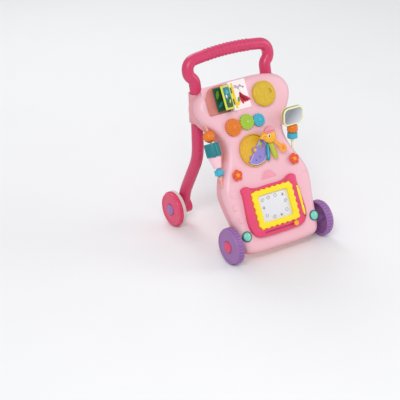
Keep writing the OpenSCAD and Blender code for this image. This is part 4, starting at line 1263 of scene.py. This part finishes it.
class WALKER_OT_mirror(Finish):
    """Swivelling mirror with two beads on its stem"""

    bl_idname = "walker.mirror"
    bl_label = "Mirror"

    def make(self):
        cream = crumb("#EFF0C2", "mirror_cream", rough=0.28)
        trim = crumb("#D8DE7E", "mirror_lime_edge", rough=0.28)
        refine("mirror_stem", cream, 0.4)
        place, size = seat("mirror_frame", MIRROR)
        w, h, t = size.x, size.y, size.z
        outer, inner = rounded(w, h, 14), rounded(w - 8, h - 8, 10)
        back = slab(outer, 0, t - 2.6, 1.0, 2.0)
        # The rim's section: the share of the way from the outer outline to the inner one, and the height
        section = [(0, t - 3.6), (0.05, t - 1.2), (0.3, t - 0.2), (0.6, t)]
        section += [(0.9, t - 0.5), (1, t - 1.6), (1, t - 3.0)]
        rim = [
            [(ox + (ix - ox) * share, oy + (iy - oy) * share, z) for (ox, oy), (ix, iy) in zip(outer, inner)]
            for share, z in section
        ]
        edge = rounded(w - 0.4, h - 0.4, 13.8)
        bead = cord([(x, y, t - 2.4) for x, y in edge + edge[:2]], 0.8, 8)
        parts = [(back, cream), (wrapped(rim), cream), (bead, trim)]
        build("mirror_frame_moulded", "mirror_frame", place, parts, angle=50)
        glass = silvered_sheet("silvered_acrylic_mirror")
        place, size = seat("mirror_sheet", MIRROR)
        pane = slab(rounded(size.x, size.y, 8), 0, size.z, 0.3)
        build("mirror_sheet_polished", "mirror_sheet", place, [(pane, glass)])
        for node, colour in (("mirror_orange_bead", "orange"), ("mirror_blue_bead", "blue")):
            skin = self.plastic(node, colour, rough=0.28)
            place, size = seat(node, STEM)
            r, h = size.x / 2, size.z
            turns = [math.pi * k / 14 for k in range(15)]
            curve = [(r - 5 + 4.1 * math.sin(a), h / 2 - (h / 2 - 0.1) * math.cos(a)) for a in turns]
            section = [(3.1, 0.2)] + curve + [(3.1, h - 0.2)]
            build(node + "_turned", node, place, [(turned_ring(section, 72), skin)], angle=60)
            pads(node + "_lobes", node, place, h / 2, 10, r - 2.6, (4.4, 5.0, h - 2.0), skin)


def ears(w, h):
    """Outline of the drawing board: two round ears above, wide cheeks and a narrower chin."""
    top = h / 2
    ear = [(0, top - 9), (w * 0.2, top - 9.5), (w * 0.31, top - 6), (w * 0.37, top - 0.6)]
    cheek = [(w * 0.43, top - 0.8), (w * 0.475, top - 7), (w * 0.47, top - 20)]
    cheek += [(w * 0.482, h * 0.12), (w * 0.499, -h * 0.08)]
    chin = [(w * 0.495, -h * 0.25), (w * 0.455, -h * 0.39), (w * 0.37, -h * 0.475), (w * 0.22, -h * 0.496)]
    half = ear + cheek + chin + [(0, -h * 0.4985)]
    loop = half + [(-x, y) for x, y in reversed(half[1:-1])]
    loop.reverse()
    return smooth(loop, 6)


def even(loop, count):
    """The outline again as count points, equally spaced in angle from the middle."""
    found = []
    n = len(loop)
    for k in range(count):
        dx, dy = spoke(1, 2 * math.pi * k / count)
        best = None
        for i in range(n):
            (x1, y1), (x2, y2) = loop[i], loop[(i + 1) % n]
            ex, ey = x2 - x1, y2 - y1
            den = dx * ey - dy * ex
            if abs(den) < 1e-9:
                continue
            t = (x1 * ey - y1 * ex) / den
            s = (x1 * dy - y1 * dx) / den
            if t > 0 and -1e-6 <= s <= 1 + 1e-6 and (best is None or t > best):
                best = t
        found.append((dx * best, dy * best))
    return found


def waved(loop, ripples, high):
    """The outline with a number of even ripples, each high from the middle line."""
    way = [0.0]
    for here, there in zip(loop, loop[1:] + loop[:1]):
        way.append(way[-1] + math.dist(here, there))
    moved = []
    for (x, y), along in zip(loop, way):
        swell = 1 + high * math.sin(2 * math.pi * ripples * along / way[-1]) / math.hypot(x, y)
        moved.append((x * swell, y * swell))
    return moved


class WALKER_OT_board(Finish):
    """Drawing board: frame, wavy surround, screen, eraser and pen"""

    bl_idname = "walker.board"
    bl_label = "Drawing board"

    def make(self):
        pink = self.plastic("bright_pink", "board", rough=0.33, patch_mm=30, mottle=0.03)
        yellow = self.plastic("surround_yellow", "yellow", rough=0.3, mottle=0.03)
        place, size = seat("board_frame", PANEL)
        w, h, t = size.x, size.y, size.z - 2.2
        bezel_place, bezel = seat("board_bezel", PANEL)
        middle = (place.inverted() @ bezel_place).translation / MM
        outline = even(ears(w, h), 240)
        hollow = even(rounded(bezel.x - 6, bezel.y - 6, 10, x=middle.x, y=middle.y), 240)
        frame_top = hole_in(outline, hollow, 0.2, t, 4.2)
        floor = slab(inset(outline, 3.5), 0.1, 4.4, 0.3, 0.3)
        pen_place, pen = seat("drawing_pen", ROD)
        at = (place.inverted() @ pen_place).translation / MM
        dark = crumb("#B32552", "slot_shadow_pink", rough=0.5)
        knob_place, knob = seat("eraser_knob", PANEL)
        spot = (place.inverted() @ knob_place).translation / MM
        slot_line = slab(rounded(2 * spot.x + 12, 4.6, 2.2, y=spot.y), t - 0.6, t + 0.12, 0.05, 0.05)
        tray = slab(rounded(8.6, pen.z + 3, 4.2, x=at.x, y=at.y + pen.z / 2), t - 0.6, t + 0.1, 0.05, 0.05)
        build(
            "board_frame_moulded",
            "board_frame",
            place,
            [(frame_top, pink), (floor, pink), (slot_line, dark), (tray, dark)],
            angle=50,
        )
        rippled = waved(even(rounded(bezel.x - 3.2, bezel.y - 3.2, 10), 280), 26, 1.5)
        screen_place, screen = seat("board_screen", PANEL)
        window = even(rounded(screen.x - 2.4, screen.y - 2.4, 6), 280)
        build(
            "board_bezel_moulded",
            "board_bezel",
            bezel_place,
            [(hole_in(rippled, window, 0.3, bezel.z, 2.0), yellow)],
            angle=50,
        )
        sheet = screen_sheet("frosted_screen_sheet", linear("#E9E8EC"), linear("#D6D6DC"))
        ink = crumb("#8C93A6", "screen_print_grey", rough=0.4)
        marks = [(slab(rounded(screen.x, screen.y, 6), 0, screen.z, 0.2), sheet)]
        star = slab([spoke(4.8 if i % 2 else 2.1, math.pi * i / 5) for i in range(10)], 0, 0.35, 0.1, 0.05)
        hoop = turned_ring([(3.2, 0), (3.2, 0.35), (4.2, 0.35), (4.2, 0)], 24)
        spots = [(-30, 20), (-31, 2), (-28, -18), (-8, -24), (12, -25)]
        spots += [(30, -17), (32, 4), (29, 21), (8, 24), (-12, 24)]
        for k, (x, y) in enumerate(spots):
            doodle, sunk = ((curl(0, 0, 5.4, 1.2, k, 0.55), 0), (star, 0.05), (hoop, 0.05))[k % 3]
            marks.append((shifted(doodle, x, y, screen.z - sunk), ink))
        build("board_screen_printed", "board_screen", screen_place, marks)
        amber = crumb("#F7A823", "knob_amber", rough=0.28)
        r, top = knob.x / 2, knob.z
        profile = [(0, 0), (2.1, 0), (2.1, 3.4), (r - 0.6, 3.5), (r, 4.2), (r, top - 1.4), (r - 0.5, top - 0.5)]
        profile += [(r - 1.5, top), (r - 2.6, top - 0.2), (r - 3.4, top - 0.9), (0, top - 1.1)]
        build("eraser_knob_turned", "eraser_knob", knob_place, [(lathe(profile, 48), amber)], angle=50)
        r, long = pen.x / 2, pen.z
        tip = [(0, 0), (1.0, 0.3), (1.5, 2), (r - 0.6, 9), (r, 11)]
        tip += [(r, 26), (r - 0.7, 27.5), (r - 0.7, 30), (r, 31.5)]
        end = [(0, 0), (r - 1.2, 0.3), (r, 2), (r, 4.5), (r - 0.8, 5.5), (r - 0.8, 7), (r, 8)]
        profile = tip + [(x, long - z) for x, z in reversed(end)]
        build("drawing_pen_turned", "drawing_pen", pen_place, [(lathe(profile, 40), yellow)], angle=40)


class WALKER_OT_lamps(Finish):
    """Mint lamp domes with dark rims"""

    bl_idname = "walker.lamps"
    bl_label = "Lamps"

    def make(self):
        mint = self.plastic("lamp_mint", "mint", rough=0.18, coat=0.5)
        rim = crumb("#2B6E70", "lamp_rim_teal", rough=0.3)
        place, size = seat("headlights", PANEL)
        r, h = 12.9, size.z
        half = size.x / 2 - 13
        parts = []
        for x in (-half, half):
            curve = [((r - 2.2) * math.cos(a), h - 5.6 + 5.4 * math.sin(a)) for a in quarter(9)[:-1]]
            lens = lathe([(0, h - 7.4), (r - 2.2, h - 7.4)] + curve + [(0, h - 0.2)], 56)
            section = [(r - 3, h - 8.5), (r - 0.3, h - 8.5), (r, h - 7.6), (r, h - 5.6)]
            section += [(r - 0.7, h - 4.6), (r - 1.9, h - 4.4), (r - 2.6, h - 5.2)]
            parts += [(shifted(lens, x), mint), (shifted(turned_ring(section, 56), x), rim)]
            parts.append((shifted(lathe([(0, 0.2), (10.4, 0.2), (10.4, h - 8), (0, h - 8)], 40), x), rim))
            for a in around(8):
                ridge = [
                    (*spoke((r - 3.4) * s, a), h - 5.4 + 5.3 * math.sqrt(1 - (s * 0.9) ** 2))
                    for s in (0.25, 0.5, 0.75, 0.95)
                ]
                parts.append((shifted(cord(ridge, 0.45, 6), x), mint))
        build("headlights_domed", "headlights", place, parts, angle=50)


class WALKER_OT_stage(Finish):
    """Pale floor, soft studio light and the camera"""

    bl_idname = "walker.stage"
    bl_label = "Stage"

    def make(self):
        bpy.ops.mesh.primitive_plane_add(size=30)
        floor = bpy.context.object
        floor.name = "studio_floor"
        material, tree, shader, place = blank("painted_studio_floor")
        cloud = put(tree, "ShaderNodeTexNoise", {"Vector": place, "Scale": 3.0, "Detail": 3.0})
        tint = blend(tree, cloud.outputs["Fac"], (*linear("#EEEEEE"), 1), (*linear("#F2F2F2"), 1))
        wire(tree, shader, {"Base Color": tint, "Roughness": 0.75})
        floor.data.materials.append(material)

        world = bpy.data.worlds.new("Studio")
        bpy.context.scene.world = world
        world.use_nodes = True
        sky = world.node_tree.nodes["Background"]
        wire(world.node_tree, sky, {"Color": (0.95, 0.96, 1.0, 1), "Strength": 0.6})

        self.lamp("key_softbox", (-1.5, -1.9, 2.4), 1.5, 42)
        self.lamp("fill_softbox", (2.2, -1.4, 1.3), 1.6, 16)
        self.lamp("back_softbox", (0.3, 1.9, 2.0), 1.4, 18)

        bpy.context.scene.view_settings.view_transform = "Standard"
        self.camera()

    def lamp(self, name, where, size, power):
        data = bpy.data.lights.new(name, "AREA")
        data.shape = "DISK"
        data.size = size
        data.energy = power
        lamp = bpy.data.objects.new(name, data)
        lamp.location = where
        lamp.rotation_euler = (Vector((0, 0, 0.2)) - Vector(where)).to_track_quat("-Z", "Y").to_euler()
        bpy.context.scene.collection.objects.link(lamp)

    def camera(self):
        azimuth, elevation, roll = math.radians(-32.13), math.radians(25.17), math.radians(-1.92)
        away, aside, lift = 3.66667, -0.11067, -0.10804
        level_back = Vector((math.sin(azimuth), -math.cos(azimuth), 0))
        back = level_back * math.cos(elevation) + Vector((0, 0, math.sin(elevation)))
        side = Vector((math.cos(azimuth), math.sin(azimuth), 0))
        above = back.cross(side)
        right = side * math.cos(roll) + above * math.sin(roll)
        up = above * math.cos(roll) - side * math.sin(roll)
        turn = Matrix((right, up, back)).transposed().to_4x4()
        data = bpy.data.cameras.new("studio_camera")
        data.sensor_width = 36
        data.lens = 135.03
        data.clip_end = 50
        camera = bpy.data.objects.new("studio_camera", data)
        place = right * aside + up * lift + back * away + Vector((0, 0, 0.2))
        camera.matrix_world = Matrix.Translation(place) @ turn
        bpy.context.scene.collection.objects.link(camera)
        bpy.context.scene.camera = camera


OPERATORS = (
    WALKER_OT_shells,
    WALKER_OT_inner,
    WALKER_OT_handle,
    WALKER_OT_wheels,
    WALKER_OT_book,
    WALKER_OT_dial,
    WALKER_OT_gears,
    WALKER_OT_disc,
    WALKER_OT_keys,
    WALKER_OT_flowers,
    WALKER_OT_rollers,
    WALKER_OT_mirror,
    WALKER_OT_board,
    WALKER_OT_lamps,
    WALKER_OT_stage,
)


class WALKER_PT_panel(bpy.types.Panel):
    """Sidebar panel with the walker's settings and its pieces"""

    bl_label = "Baby walker"
    bl_idname = "WALKER_PT_panel"
    bl_space_type = "VIEW_3D"
    bl_region_type = "UI"
    bl_category = "Walker"

    def draw(self, context):
        layout = self.layout
        for group in (context.scene.walker_sizes, context.scene.walker_colours):
            box = layout.box()
            for key in group.bl_rna.properties.keys():
                if key not in ("rna_type", "name"):
                    box.prop(group, key)
        for operator in OPERATORS:
            layout.operator(operator.bl_idname)


CLASSES = (WalkerColours, WalkerSizes, *OPERATORS, WALKER_PT_panel)


def register():
    for cls in CLASSES:
        bpy.utils.register_class(cls)
    bpy.types.Scene.walker_colours = PointerProperty(type=WalkerColours)
    bpy.types.Scene.walker_sizes = PointerProperty(type=WalkerSizes)


def unregister():
    del bpy.types.Scene.walker_sizes
    del bpy.types.Scene.walker_colours
    for cls in reversed(CLASSES):
        bpy.utils.unregister_class(cls)


def main():
    register()
    for operator in OPERATORS:
        group, name = operator.bl_idname.split(".")
        getattr(getattr(bpy.ops, group), name)()


if __name__ == "__main__":
    main()
